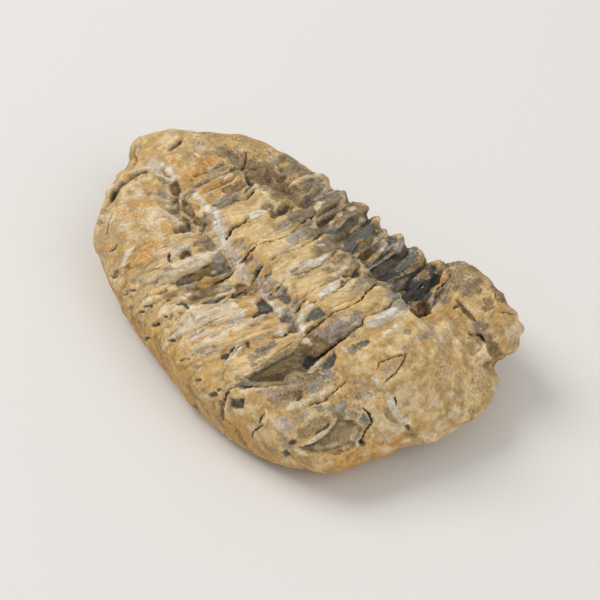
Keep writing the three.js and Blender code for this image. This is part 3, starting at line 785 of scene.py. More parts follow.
NEAR_SIDE_MARKS: tuple[Mark, ...] = (
    # The pale ridge, then the long cavity with its bosses, then the short cavity.
    Area(((-4.6, -13.6), (-3, -12.6), (-1.3, -13.6), (-1, -16), (-0.9, -20), (-0.7, -24), (-2, -25.5),
        (-4.2, -24), (-4.6, -18)), PALE, -0.3, 0.3, 0.9),
    Area(((-3.4, -14), (-1.8, -13.6), (-1.4, -17.6), (-3, -17.6)), CALCITE, -0.04, 0.4, 0.49),
    blot(-3.8, -22.4, VIOLET, 0.7, 0.7, 0.4),
    Line(((-4.9, -20.5), (-4.4, -24), (-3, -27.5)), CALCITE, -0.06, 0.5, 0.57),
    patch(OLIVE, 0.25, 1.0, (-3.4, -11), (-1.6, -12.2), (-0.9, -14), (-0.8, -19), (-0.5, -22.8),
        (1.8, -23.9), (3.4, -22.8), (4.4, -20), (4.7, -16), (3.8, -12.4), (0.5, -11.8)),
    Area(((-3.2, -11.1), (-0.6, -12), (2.8, -12.6), (3.4, -14.4), (2.2, -15.3), (0.2, -15.1),
        (-1, -14.4)), GREY, 0.1, 0.35, 0.9),
    Line(((-0.7, -14.4), (-0.5, -18), (-0.3, -22.4)), SHELL, 0.2, 0.35, 0.7),
    Area(((-0.6, -20), (1.6, -19.8), (2.2, -21.6), (3.2, -22.4), (1.8, -23.8), (-0.4, -22.8)),
        GREY, 0.2, 0.4, 0.8),
    crack(((3, -11.9), (4.1, -13.4), (4.7, -15.6), (4.7, -17.6)), 0.4, 0.9),
    patch(BROWN, 0.5, 0.5, (0.8, -15.8), (3.6, -15.4), (4.2, -17.4), (2, -18.6), (0.9, -17.6)),
    blot(1.5, -15.5, PALE, 0.55, 0.9),
    Spot(((3, -17.8), (3.4, -19.2)), ORANGE, -0.7, 1.1, 0.85),
    blot(2.6, -21.4, VIOLET, 0.8, 0.7, 0.5),
    Spot(((0.9, -21.6), (1.4, -22)), PALE, -0.1, 0.28, 0.8),
    Area(((4.9, -14.4), (7.6, -14), (8, -16.4), (7, -18), (6.4, -21.4), (4.9, -21)),
        PALE, 0.3, 0.4, 0.75),
    blot(5.6, -17.4, GOLD, 0.8, 0.7, 1.2),
    Area(((5, -21.4), (6.8, -21), (7, -23), (6.8, -24.4), (5.4, -23.8)), OLIVE, 0.35, 0.4, 0.8),
    Area(((7.6, -12.4), (9.6, -12), (10.7, -14), (10.3, -16.6), (9.2, -17), (8.2, -15.6),
        (6.4, -13.6)), BROWN, 0.5, 0.4, 0.9),
    Area(((8.7, -16.6), (7.4, -18), (6.9, -20.6), (7.1, -23.2), (8.2, -21.8), (8.8, -20), (8.9, -18)),
        SHELL, 0.7, 0.25, 0.85),
    Area(((9.1, -20.4), (10, -19.6), (10.5, -26), (9.8, -28.4), (7.8, -26.4), (7.2, -24)),
        PALE, -0.35, 0.4, 0.95),
    Line(((4.9, -26), (5.6, -24.6), (7.3, -24.9)), SHELL, 0.5, 0.4, 0.85),
    crack(((9.2, -13.8), (9.9, -16.6), (10, -19.4), (10.2, -21.6)), 0.42, 1.2),
    Line(((8.5, -16.2), (9.3, -18.4), (9.6, -20.4)), CALCITE, -0.14, 0.3, 0.74),
    Area(((3.7, -21.8), (4.6, -21.4), (4.9, -24), (4.7, -26.2), (3.7, -24.4)),
        CALCITE, -0.16, 0.28, 0.78),
    Line(((3.6, -26.4), (5, -28.8), (6.4, -30.6)), PALE, -0.2, 0.5, 0.7),
    patch(ORANGE, 0.5, 0.6, (0, -24.6), (2.4, -25), (3.4, -26.6), (0.8, -26.4)),
    Spot(((0.2, -25.4), (0.3, -26.8)), BROWN, 0.7, 0.4, 0.9),
    Area(((12.7, -12.4), (15.5, -12), (17, -12.6), (16.6, -14.8), (16.8, -17.3), (15.6, -16.6),
        (15, -14.5), (13, -13.5)), SHELL, 0.5, 0.3, 0.85),
    # The long pale ribs that run down the plates of the near side.
    Area(((10.2, -17), (12.6, -17.4), (13, -22), (12, -26), (12.6, -31), (14, -35.4), (12, -33),
        (10.4, -27), (10.2, -21)), PALE, -0.4, 0.5, 0.95),
    Line(((10.7, -22), (10.9, -27), (12.2, -32)), CALCITE, -0.04, 0.45, 0.49),
    Area(((13.6, -16.4), (15.4, -17.4), (17.2, -18.4), (16.8, -21.4), (15, -22), (13.2, -19.6)),
        CALCITE, -0.08, 0.6, 0.70),
    Line(((17.3, -14.4), (16.9, -20), (17.1, -27), (17.6, -31.4)), PALE, -0.45, 0.8, 0.8),
    Line(((16.7, -23), (17.1, -27), (17.5, -31)), PALE, -0.15, 0.5, 0.8),
    blot(11.6, -16.2, ORANGE, 0.9, 0.8),
    blot(18.2, -22.4, ORANGE, 0.8, 0.7),
    blot(18.4, -17.4, ORANGE, 0.9, 0.5, 1.0),
    patch(PINK, 0.8, 0.7, (12.8, -25.6), (15.6, -25), (16, -28.6), (13.4, -29.2)),
    Area(((20.6, -21.8), (22.6, -23.2), (23.3, -25), (23.2, -27.6), (22.4, -26), (21.4, -24.2)),
        PALE, -0.4, 0.3, 0.95),
    Line(((19.4, -15), (19, -22)), None, 0.2, 0.9, 0.0),
    Line(((24.6, -16), (24.6, -22)), None, 0.3, 0.9, 0.0),
    Line(((22.4, -17.6), (22, -21)), ORANGE, -0.3, 1.1, 0.4),
    Area(((22.8, -16.4), (24.4, -16.8), (25, -19.6), (24.8, -21.2), (23.2, -20.6), (23.4, -18.4)),
        VIOLET, 0.1, 0.5, 0.9),
    Spot(((20.8, -21.2), (22, -21.4)), SHELL, 0.3, 0.4, 0.75),
    Spot(((20.8, -23.8), (21.4, -24.8)), SHELL, 0.4, 0.4, 0.8),
    Area(((21, -25.6), (22, -25.2), (22.4, -26.4), (21.6, -27.2), (20.9, -26.6)),
        SHELL, 0.5, 0.25, 0.9),
    crack(((20.9, -21.9), (21.6, -23.6), (22.6, -25.4)), 0.2, 0.4, 0.8),
    crack(((25.2, -13.6), (25.6, -16), (26.2, -19)), 0.18, 0.35, 0.8),
    crack(((16.7, -18.4), (16.5, -22), (16.8, -26)), 0.16, 0.3, 0.6),
    crack(((13, -20), (12.6, -24), (12.9, -28)), 0.16, 0.3, 0.5),
    # The wall of smooth grey-green stone beside the great gap, and the gap itself.
    Area(((24.8, -9.6), (29.8, -9.2), (31.9, -13.6), (30, -14.9), (27.4, -14.6), (25.4, -12.6)),
        BROWN, 0.1, 0.4, 0.7),
    blot(28.2, -11.6, VIOLET, 1.1, 0.6),
    Area(((25.6, -11.3), (27.2, -11.4), (27.6, -12.6), (26.2, -12.8)), CALCITE, -0.12, 0.3, 0.78),
    patch(OLIVE, 0.5, 0.6, (25.8, -14), (27.2, -15), (28.1, -18), (28.2, -22), (28, -26), (26.8, -24),
        (26.2, -19)),
    Area(((27.4, -14.4), (30, -14.4), (31.9, -13.2), (32.8, -15), (33, -17), (32, -18), (32, -20.4),
        (34.2, -20.9), (33, -23), (31.6, -25.4), (30.2, -28), (28.8, -29.6), (28.2, -27.6),
        (28.2, -22), (28, -17)), CAVITY, 0.9, 0.4, 1.0, through=True),
    Area(((31.3, -19.2), (31.8, -20.6), (34, -20.9), (32.9, -23.2), (31.4, -25.8), (29.8, -28.6),
        (28.8, -29), (27.9, -26.4), (29.4, -23.4), (30.8, -20.4)), CAVITY, 0.1, 0.6, 1.0, through=True),
    Area(((28.6, -29.2), (27.7, -26.6), (27.9, -22), (29.2, -19), (31.2, -18.6), (31.6, -24.6),
        (30, -28.4)), CAVITY, 0.0, 0.2, 0.95, through=True),
    Line(((28.6, -29.2), (28.3, -27), (28.2, -24.6), (28.4, -21)), SHELL, 0.0, 0.35, 0.6),
    Area(((28.4, -29), (28, -26.8), (29, -24.8), (30.6, -25.4), (30, -27.4)),
        CAVITY, 0.0, 0.2, 1.0, through=True),
    # Painted shadow in the deepest parts of the great gap.
    Line(((28.7, -28.8), (29.6, -27.4), (30.6, -26)), BLACK, 0.2, 0.3, 0.7, through=True),
    patch(BLACK, 0.4, 0.7, (30.4, -14.4), (31.9, -13.6), (32.9, -15), (32.9, -16.8), (31, -16.4)),
    Area(((31.2, -16.8), (33.3, -16.6), (33.6, -20), (32.6, -20.6), (31, -20.2)),
        OLIVE, -0.3, 0.7, 0.95),
    Area(((31.6, -20), (33.2, -20), (33.8, -21.4), (32.6, -22.4), (31.4, -21.4)),
        OLIVE, 0.0, 0.3, 0.95, through=True),
    blot(32.4, -18.6, PALE, 0.7, 0.62),
    Spot(((28.1, -14.9), (29.2, -14.8)), CALCITE, -0.16, 0.4, 0.78),
    crack(((28.8, -29), (29.3, -31), (30.8, -33), (32.6, -34.5)), 0.22, 0.6),
    Line(((29.6, -29.6), (30.8, -28.6), (31.8, -28.4)), CALCITE, -0.08, 0.5, 0.41),
    patch(VIOLET, 0.5, 0.6, (34.6, -21.4), (35.6, -22.4), (33.6, -26.4), (31.6, -28.6), (32, -26)),
    *stains(PALE, 1.0, 0.7, (19, -27.4), (19.4, -26), (13, -22), (13, -26.4), (-1.8, -24), (-1.4, -17)),
    *stains(PALE, 1.1, 0.6, (-2.2, -21), (-0.6, -18), (4.6, -18), (5, -20.6), (13.8, -20.4),
        (19.2, -28.8)),
    *stains(DUN, 0.9, 0.6, (25, -21.6), (26.6, -23.4), (10.4, -15.4), (16, -15.2), (1.4, -22.6),
        (-5, -17)),
    *stains(DUN, 1.0, 0.62, (-5, -29), (-4.6, -14), (-3.6, -31.6), (0.6, -33.4), (24.6, -22.4),
        (27.6, -27.4)),
    *stains(GREY, 1.2, 0.5, (2, -17.4), (4, -21.6), (21.8, -18.6), (-7, -13.6), (-14.6, -13.6),
        (46.6, -30)),
    *stains(ORANGE, 1.2, 0.5, (15.4, -27), (17.4, -31), (0, -27.6), (-4.6, -31.4), (6.6, -32),
        (8, -26.8)),
    # Small brown holes along the lower flank.
    hole(2.2, -31, 0.4, 0.7, 0.5),
    hole(2.9, -32.8, 0.3, 0.6),
    hole(7.3, -32.5, 0.3, 0.7, 0.6),
    hole(12.7, -32.3, 0.45, 0.7),
    hole(18.2, -33, 0.26, 0.6, 0.7),
    hole(-3.2, -31, 0.35, 0.6, 0.4),
    hole(-3, -32.8, 0.3, 0.5),
    hole(3.2, -26.6, 0.3, 0.6, 0.1),
    hole(9.4, -36.4, 0.4, 0.6, 0.3),
    hole(28.3, -32.5, 0.28, 0.6, 0.1),
    hole(28.8, -34.1, 0.42, 0.6),
    hole(24, -34.2, 0.25, 0.6, 0.6),
    hole(-5.6, -24, 0.3, 0.6, 0.7),
    hole(6.6, -29.4, 0.25, 0.4, 0.1),
)

HEAD_MARKS: tuple[Mark, ...] = (
    # The broken triangle on the crown of the glabella.
    crack(((39.3, 0.5), (38.8, -1.2), (38.4, -3), (38.1, -4.9), (39.6, -6.2)), 0.24, 0.7, 0.8),
    crack(((39.2, 0.4), (40.3, -0.8), (41.3, -2), (42.3, -4.5), (43, -7)), 0.26, 0.8, 0.85),
    Area(((39.2, 0.2), (38.2, -3.6), (39.6, -5.8), (42.4, -6.4), (41.4, -3), (40.2, -1.2)),
        GREY, 0.25, 0.4, 0.4),
    Line(((39.1, 0.1), (38.5, -1.6), (38.3, -2.6)), ORANGE, 0.0, 0.35, 0.9),
    # Dark blots beside the crack behind the head.
    Area(((32.2, -3), (33.1, -3.2), (33.5, -5.2), (32.9, -7), (32.1, -6.4), (31.9, -4.6)),
        SHELL, 0.25, 0.4, 0.8),
    Area(((31.4, -9.8), (33, -10.3), (34.4, -11.8), (34.4, -15), (33.5, -17), (33, -14), (32.3, -12)),
        SHELL, 0.6, 0.35, 0.85),
    Line(((32.6, -13.2), (33, -14.8), (33.3, -16.2)), CALCITE, -0.14, 0.32, 0.74),
    Line(((31.2, -7.6), (32.4, -7.8), (33, -7.2)), PINK, -0.1, 0.5, 0.7),
    # Violet and grey mottling between the gap and the near cheek.
    patch(VIOLET, 1.2, 0.7, (34, -12), (37, -12.8), (38.2, -18), (37.8, -25), (35, -25.6), (33.8, -22),
        (35, -18)),
    blot(36.4, -22, BROWN, 1.0, 0.8, 1.2),
    blot(34.9, -16.8, BROWN, 0.9, 0.7, 0.8),
    blot(36.6, -17.6, GREY, 0.8, 0.8, 0.6),
    blot(35.4, -20, GREY, 0.7, 0.8, 0.5),
    Spot(((37.6, -21.2), (37.9, -22)), SHELL, 0.3, 0.4, 0.7),
    Area(((38.6, -15), (39.8, -16), (40, -21), (39.8, -25.5), (38.2, -24.6), (38.4, -19)),
        PALE, -0.1, 0.5, 0.75),
    crack(((39.2, -12.4), (39.9, -14.4), (40.4, -16.6), (40.8, -18), (40.8, -20),
        (40.4, -21.4)), 0.26, 0.8),
    Spot(((40.75, -17.8), (40.7, -19.6)), BROWN, 0.5, 0.38, 0.9),
    patch(GREY, 0.6, 0.75, (42.6, -15), (44.6, -15.6), (44.9, -18.6), (43.4, -19.6), (42.6, -17.6)),
    patch(GREY, 0.6, 0.6, (41, -22), (42.8, -22.4), (43, -25.4), (41.4, -26)),
    blot(40.2, -24, GREY, 0.9, 0.5, 0.4),
    blot(45, -30, GREY, 0.9, 0.6, 0.3),
    # The square chip low on the near flank, and the stains round it.
    Area(((32.6, -29.8), (34.9, -31.5), (33.1, -33.4), (31.4, -32)), SHELL, 0.8, 0.3, 0.9),
    blot(33.6, -31.6, BROWN, 0.5, 0.7),
    crack(((37.6, -28.8), (38.5, -30), (39.4, -31.3)), 0.22, 0.5, 0.7),
    crack(((39.9, -31), (41, -33.4), (42.6, -35.2)), 0.24, 0.6, 0.85),
    Line(((31, -34), (33, -35.2), (35.6, -36.4)), BROWN, 0.2, 0.45, 0.7),
    patch(ORANGE, 0.9, 0.35, (39.6, -29.2), (45.6, -29.6), (46.4, -33), (43, -35), (40, -33.4)),
    patch(ORANGE, 0.8, 0.9, (36.6, -34), (39, -34.6), (39.6, -37), (37.2, -37)),
    Area(((39.8, -25.8), (43.8, -26), (44.4, -29), (40.2, -29.2)), PINK, -0.1, 0.6, 0.85),
    blot(42.6, -29.9, SHELL, 0.6, 0.45),
    blot(42.6, -32.2, GOLD, 1.4, 0.9, 0.6),
    # The oval hollow of the near cheek, with its raised rim.
    Area(((45.3, -18.4), (48, -17.2), (51, -17), (53.5, -19), (53.8, -20), (53, -22), (52.5, -25),
        (51.5, -27.5), (49.5, -29.3), (48.4, -28.8), (48.7, -26), (47.9, -22.5), (46.5, -20.3)),
        OLIVE, 0.8, 0.6, 1.0),
    patch(GREY, 0.5, 0.45, (49.4, -24.6), (52.4, -24.8), (52.2, -27), (50, -29), (48.7, -28.6)),
    Line(((48.9, -25), (49.2, -27.2), (48.9, -29)), SHELL, 0.15, 0.4, 0.8),
    Line(((53.6, -20.4), (53.4, -23), (52.9, -25.4)), BROWN, 0.1, 0.5, 0.8),
    Area(((43.6, -20), (45.6, -20.4), (47, -23.4), (47.4, -26.4), (46.8, -29), (44.6, -27),
        (43.4, -23)), OLIVE, 0.3, 0.6, 0.55),
    Line(((45.2, -18.2), (46.5, -20.3), (47.6, -23), (48.2, -25.8), (48.2, -28.6)),
        PALE, -0.55, 0.42, 1.0),
    Line(((46.1, -20.8), (46.9, -22.8), (47.2, -24.6)), SHELL, 0.45, 0.32, 0.8),
    Area(((45.2, -15.2), (47.4, -14.8), (48.2, -16.2), (47.4, -18), (45.4, -17.8)),
        PALE, -0.4, 0.45, 0.85),
    Area(((47.6, -14.4), (50.4, -14.9), (51, -16.6), (49, -17)), GREY, 0.25, 0.5, 0.85),
    blot(49.6, -16.2, SHELL, 0.5, 0.5, 0.1),
    crack(((46.5, -13.7), (48.5, -14.1), (50.5, -15), (51.3, -16.5), (53.3, -18.6),
        (54.5, -19.6)), 0.26, 0.8),
    Line(((51.8, -17.4), (53, -18.9), (54, -20.4)), PALE, -0.3, 0.35, 0.8),
    Spot(((53.6, -19.2), (54.4, -19.2)), BROWN, 0.5, 0.4, 0.9),
    Area(((46, -28.4), (47.5, -28.6), (47.6, -30.2), (46.2, -29.9)), SHELL, 0.3, 0.4, 0.75),
    Area(((47.4, -30.8), (49.4, -31.2), (49.6, -32.6), (47.8, -32.4)), SHELL, 0.3, 0.4, 0.75),
    crack(((50.4, -31.8), (49.2, -31.3), (48, -32.6)), 0.25, 0.5, 0.7),
    blot(46.8, -33.6, GREY, 0.8, 0.8),
    Line(((48.6, -29.9), (50.4, -29), (51.6, -27.6)), PALE, -0.1, 0.4, 0.7),
    # The white line that curves over the front of the head, with its olive shadow.
    Line(((40.6, -8), (43, -8), (46, -8.4)), CALCITE, 0.0, 0.5, 0.62),
    Line(((45.6, -8.2), (49, -9.2), (51.4, -10), (53.4, -10), (54.8, -9.6)),
        CALCITE, -0.04, 0.55, 0.76),
    Area(((48.4, -9.8), (51, -10.6), (53.6, -10.9), (53, -12.2), (50.4, -12), (48.4, -11)),
        OLIVE, 0.15, 0.4, 0.7),
    patch(VIOLET, 1.0, 0.5, (40.6, -10), (44.6, -10.4), (45, -13.6), (41, -14)),
    crack(((47, -7.6), (48, -8.1), (49.2, -8.5)), 0.25, 0.5),
    Spot(((55.2, -10.2), (56.2, -10.6)), CAVITY, 0.5, 0.35, 0.8),
    patch(PALE, 0.8, 0.6, (51.8, -11.4), (55.8, -11), (56.2, -13.6), (53.4, -14.4)),
    blot(52.8, -2.6, PALE, 0.9, 0.6, 0.3),
    patch(PALE, 1.6, 0.42, (56, -3), (61, -2), (62.4, -12), (60, -18), (56.6, -17), (57, -10)),
    *stains(PALE, 1.3, 0.6, (53.4, 1.4), (57.6, -2), (51.6, -19), (51.4, -23), (50.6, -26.4),
        (40.6, -10.6), (40.6, 7.4), (45, 10.4), (46.6, 4.4), (36, 16.4), (32, -31.4), (35.4, -32.4),
        (28.6, -36)),
    *stains(DUN, 1.1, 0.65, (32.6, -6), (34, -14.4), (42.2, -20), (43.6, -18.4), (34.4, 4), (28.6, -3)),
    *stains(DUN, 1.3, 0.65, (33, -6.6), (34.2, -14), (41, -17.4), (46.6, -16.2), (45.4, -18)),
    *stains(DUN, 1.0, 0.5, (53, 6), (59, 1.6), (26, -21.6), (-4.6, -28), (0, -29.4), (21, -32.4)),
    *stains(GREY, 1.3, 0.4, (37.6, 13), (39.4, 10.6), (41, 6.6), (31, 10.4), (53.4, 10.8), (40, -21.4)),
    *stains(GREY, 1.4, 0.42, (38.6, 13.2), (31, 10), (54, 11), (50, 18), (40, -5), (57.4, 7)),
    *stains(PALE, 1.6, 0.55, (59, -13.4), (58, -16.8), (56.6, -20), (55.6, -27), (52, -33),
        (38.4, -36)),
    *stains(PALE, 1.2, 0.62, (50.4, -18), (52.4, -20), (51.4, -24.4), (40.8, -10.8), (31, 10.4)),
    *stains(ORANGE, 1.3, 0.5, (33.6, 5.6), (37, 8), (50.4, 12), (52, -4.6), (34.6, -5), (47, -10.6),
        (57, -14)),
    *stains(ORANGE, 1.4, 0.45, (49, -19), (48.6, -22), (42.4, -17), (16.4, -29), (20, -31),
        (27, -32.6), (-5, -31)),
    Line(((53.6, 4.2), (55.6, 3.2), (57, 1.4)), GREY, 0.0, 0.4, 0.35),
    # Faint mottles on the crown.
    blot(37.7, 1, VIOLET, 0.6, 0.6, 0.3),
    Area(((36.2, 4.4), (38.6, 4.6), (38.8, 8), (36.6, 8.2)), VIOLET, 0.05, 0.8, 0.6),
    blot(38, 13.4, GREY, 1.0, 0.45, 0.4),
    blot(45, 11, GREY, 1.2, 0.4, 0.4),
    patch(BROWN, 1.4, 0.35, (44, 1), (47.6, 1.4), (48.4, 5.4), (45, 6.2)),
)

FAR_SIDE_MARKS: tuple[Mark, ...] = (
    # The dun far plates of the rear half, with their brown-grey faces.
    patch(DUN, 0.7, 0.9, (-9, 16.5), (-6, 17), (-5, 18.5), (0, 19.5), (5, 18.6), (10, 18), (12.6, 14),
        (12.8, 8.9), (9, 8.9), (0, 9), (-5, 9.5), (-8.6, 10.5)),
    patch(DUN, 0.7, 0.7, (-13.2, 18), (-9.6, 18.6), (-8.6, 15.4), (-9, 12.5), (-12.4, 13.4)),
    Area(((-12.8, 17), (-11, 17), (-5.2, 11.2), (-5, 9.8), (-6.4, 10.2), (-12.4, 15.4)),
        SHELL, 0.25, 0.5, 0.55),
    Area(((-2.4, 15.4), (-0.4, 15), (1.6, 11.5), (1.8, 8.8), (0.2, 8.7), (-0.8, 11)),
        SHELL, 0.3, 0.5, 0.6),
    Area(((2.6, 15.6), (4.6, 15.4), (6, 11.5), (5.8, 8.4), (4.4, 8.2), (3.2, 11)),
        SHELL, 0.3, 0.5, 0.6),
    Area(((5.4, 18.2), (9, 17.4), (10, 14.6), (11, 12), (12.7, 9), (10.4, 8.2), (8.4, 9.2),
        (7.4, 12.4)), SHELL, 0.4, 0.45, 0.72),
    patch(BROWN, 0.6, 0.85, (-1, 19), (2, 19), (3, 17), (-1.4, 17)),
    patch(BROWN, 0.6, 0.6, (5.6, 18.6), (9.6, 18), (9.8, 16.6), (6, 17)),
    blot(10.3, 12.6, BROWN, 0.9, 0.75, 0.4),
    *stains(SHELL, 0.9, 0.75, (-9.2, 14), (-3.9, 13.2), (2.6, 13), (4.8, 9.4), (10, 8.9)),
    *stains(BROWN, 0.9, 0.6, (-8, 11.6), (-3, 11.6), (3.6, 11.4), (9.2, 12.4), (-12, 12.6), (-2, 14.6)),
    Line(((-11.2, 18.4), (-12, 16), (-11.6, 11)), PALE, -0.3, 0.6, 0.8),
    Line(((-6, 18.4), (-6, 16.6), (-5, 15)), PALE, -0.3, 0.6, 0.7),
    Line(((-0.6, 18.6), (-0.2, 15), (0.2, 11), (1, 7)), PALE, -0.3, 0.55, 0.75),
    *stains(SHELL, 0.8, 0.7, (-3.4, 15.4), (8.4, 14.6), (12.8, 18), (14.6, 17.6)),
    Line(((0.9, 14.6), (2, 12), (2.6, 10)), PINK, -0.3, 0.45, 0.75),
    Line(((4.8, 17), (6, 14.4), (6.9, 12)), PINK, -0.3, 0.5, 0.75),
    Line(((-4, 13.5), (-3, 11.8), (-2, 10.5)), PALE, -0.3, 0.7, 0.8),
    Line(((-7.6, 17), (-5.8, 14.6), (-4.8, 12)), PINK, -0.3, 0.6, 0.7),
    Line(((-4, 18.4), (-1.8, 16.4), (-0.4, 15)), PINK, -0.35, 0.7, 0.55),
    Line(((10, 18.9), (11.2, 16.6), (12.2, 14), (12.6, 12), (13, 8.6)), PALE, -0.4, 0.6, 0.95),
    # The slate faces of the front far plates, in dun stone.
    patch(DUN, 0.4, 1.0, (10.6, 18.4), (13, 19), (18, 19.6), (22.6, 19), (25, 20.6), (26.6, 17),
        (27, 9), (13, 8.8), (11.6, 13)),
    Area(((12.6, 17.2), (15, 15.8), (16.4, 15), (16.6, 12), (17.2, 8.6), (14.8, 8.8), (12.9, 11)),
        SHELL, 0.45, 0.35, 0.9),
    patch(OLIVE, 0.5, 0.8, (12.6, 15), (14.8, 14.6), (15.4, 10.4), (13.2, 9.6)),
    patch(BROWN, 0.5, 0.7, (13, 12.4), (14.8, 12), (15.2, 10.2), (13.4, 9.6)),
    Line(((13.4, 17.4), (14.2, 15.2), (14.9, 13.4)), GREY, 0.0, 0.6, 0.9),
    Area(((11.8, 18.6), (13.8, 18.4), (13.4, 16.6), (12.2, 16.4)), SHELL, 0.4, 0.3, 0.8),
    Line(((14, 18.7), (15.4, 17.4), (16.8, 16.2)), GREY, -0.45, 0.7, 1.0),
    Line(((16.3, 15.6), (16.9, 12), (17.4, 9)), PINK, -0.4, 0.22, 0.95),
    patch(PINK, 0.3, 1.0, (16, 17.2), (17.8, 17), (18, 14), (16.4, 14)),
    Area(((17.2, 18), (19, 18.1), (21.3, 16.4), (21.6, 12), (22.1, 9), (20.5, 8.6), (18, 8.8),
        (17.2, 12), (16.9, 15)), SHELL, 0.5, 0.3, 0.95),
    patch(GREY, 0.5, 0.75, (17.4, 16.6), (19.2, 16.4), (19.6, 13), (19.8, 9.8), (18.2, 9.6),
        (17.5, 12.4)),
    # Painted shadow on the plate faces that lie deepest in shade.
    patch(BLACK, 0.5, 0.95, (19.8, 16.8), (21.4, 16), (21.9, 12), (22.2, 9), (20.2, 8.8), (19.9, 12.4)),
    Line(((15.9, 8.2), (16.1, 10), (15.6, 12)), BLACK, 0.0, 0.5, 0.7),
    *stains(GREY, 0.8, 0.7, (19.2, 9), (18.8, 10.6)),
    Spot(((18.1, 18.6), (18.6, 18.3)), BROWN, 0.8, 0.5, 0.8),
    Line(((22.4, 9), (22.2, 12.5), (22, 16)), PALE, -0.35, 0.17, 0.85),
    patch(ORANGE, 0.3, 0.7, (21.2, 19), (22.6, 18), (22.6, 16), (21.4, 16.6)),
    Area(((18.3, 20.4), (20.4, 19.4), (22.8, 17.6), (22.4, 16.4), (19.6, 18)), GREY, -0.25, 0.35, 0.8),
    Line(((20.6, 18), (21, 16.6), (21.2, 15.2)), ORANGE, 0.0, 0.4, 0.5),
    *stains(SHELL, 0.8, 0.8, (17.4, 19.6), (19, 18.8)),
    # The gap behind the far cheek, nearly black with painted shadow over its cut hollow, and the blue-grey
    # face of the last plate.
    Area(((22.3, 19.6), (24.5, 20.6), (26, 19.4), (28.4, 16.6), (29.6, 13), (30.4, 10), (29.8, 8.8),
        (26.4, 8.9), (25.2, 11), (25, 15), (23.5, 18)), BLACK, 0.9, 0.3, 1.0),
    patch(GREY, 0.3, 0.8, (22, 16.6), (23.2, 17), (24, 14), (24.4, 11), (26, 9), (22.8, 9.2),
        (22.4, 12)),
    patch(SHELL, 0.4, 0.85, (22, 17), (24.6, 17), (24.8, 13), (23, 8.8), (21.8, 9), (22.2, 12)),
    patch(BLACK, 0.5, 1.0, (24.2, 20.8), (26, 20), (28.4, 17), (29.4, 12), (28.4, 10.6), (25.6, 10.6),
        (24.6, 12), (25, 15)),
    patch(OLIVE, 0.4, 0.6, (22.4, 20.4), (25, 20.8), (26, 19), (24, 18.2)),
    Spot(((26.6, 14.2), (27.1, 14.3)), PALE, -0.1, 0.3, 0.9),
    Spot(((24.1, 16.6), (24.6, 16.3)), PALE, -0.1, 0.25, 0.8),
    blot(29.2, 10.4, OLIVE, 0.7, 0.6, 0.4),
    Line(((25.5, 20.2), (27, 18.8), (28.2, 17.4), (29, 15)), ORANGE, -0.35, 0.4, 0.85),
    patch(GREY, 0.5, 0.8, (24.4, 9), (27, 9), (27, 6.4), (24.6, 6.6)),
    # The brown pocket where the gap meets the crown, and the crack along the far cheek.
    Area(((30.2, 12.6), (32, 12.4), (33.8, 10.4), (33.3, 8.8), (31, 8), (30.2, 9.4)),
        BROWN, 0.9, 0.35, 0.9),
    crack(((32.3, 11.4), (32.9, 10.6), (33.9, 9.8)), 0.4, 1.0),
    crack(((26.3, 20.8), (27.6, 19.4), (28.6, 17.8), (29.2, 15.5)), 0.3, 0.8),
    crack(((30.4, 14.6), (31.6, 13.4), (32.8, 11.8)), 0.22, 0.5, 0.7),
    Area(((29.4, 17), (31.4, 16), (33.6, 12.4), (32.4, 11.8), (30.2, 13.4)), PINK, 0.1, 0.6, 0.8),
    Line(((29.8, 15.6), (31.2, 14.2), (32.4, 12.6)), VIOLET, 0.2, 0.4, 0.9),
    Spot(((24.4, 23.2), (25, 21.6)), CAVITY, 0.8, 0.6, 0.9),
    Area(((29.8, 22.4), (32.4, 22), (33, 20), (31.2, 18.6), (29.8, 20.2)), VIOLET, 0.15, 0.6, 1.0),
    Area(((30, 21.6), (31.9, 21.4), (32.2, 19.9), (30.8, 19)), BROWN, 0.1, 0.6, 1.0),
    blot(31.2, 20.4, SHELL, 0.5, 0.6, 0.4),
    hole(34.7, 15.1, 0.3, 0.7, 0.3),
    # The furrow between the crown and the far cheek.
    Line(((33.5, 16.5), (36, 16), (39.8, 15.8)), BROWN, 0.4, 0.5, 0.7),
    Area(((39.8, 15.4), (40.4, 17.4), (42, 16.8), (43.4, 15.9), (46, 15.8), (50.8, 15.4), (51.4, 13.4),
        (48, 13.2), (45.6, 13.9), (42, 14.2)), VIOLET, 0.4, 0.5, 1.0),
    patch(BROWN, 0.6, 0.8, (45.8, 15.8), (50.8, 15.4), (51.4, 13), (48, 12.8), (46, 14)),
    crack(((43, 14.2), (44, 14.3), (45.2, 14.1)), 0.6, 1.2),
    crack(((40.8, 13.6), (41.8, 13.3), (42.8, 13.2)), 0.2, 0.4, 0.7),
    crack(((35.8, 23.6), (36.6, 22.9), (37.4, 22.2)), 0.2, 0.4, 0.7),
    Line(((40.6, 21), (41.6, 22), (42.6, 22.8)), BROWN, 0.3, 0.4, 0.7),
    patch(PALE, 0.6, 0.9, (44.2, 19.4), (45.4, 22.4), (48.8, 21), (48.8, 19), (46, 18.6)),
    *stains(BROWN, 1.4, 0.6, (36.8, 24), (37, 21), (34.6, 24.4), (42, 16.4), (45.6, 15), (28.4, 24)),
    *stains(BROWN, 1.4, 0.62, (30.6, 19.4), (31.6, 21.6), (33.4, 21), (38.2, 20), (44.6, 13.6)),
    *stains(DUN, 1.2, 0.7, (25, 21), (25.4, 23), (30.2, 16.4), (32, 15), (31, 18.6)),
)

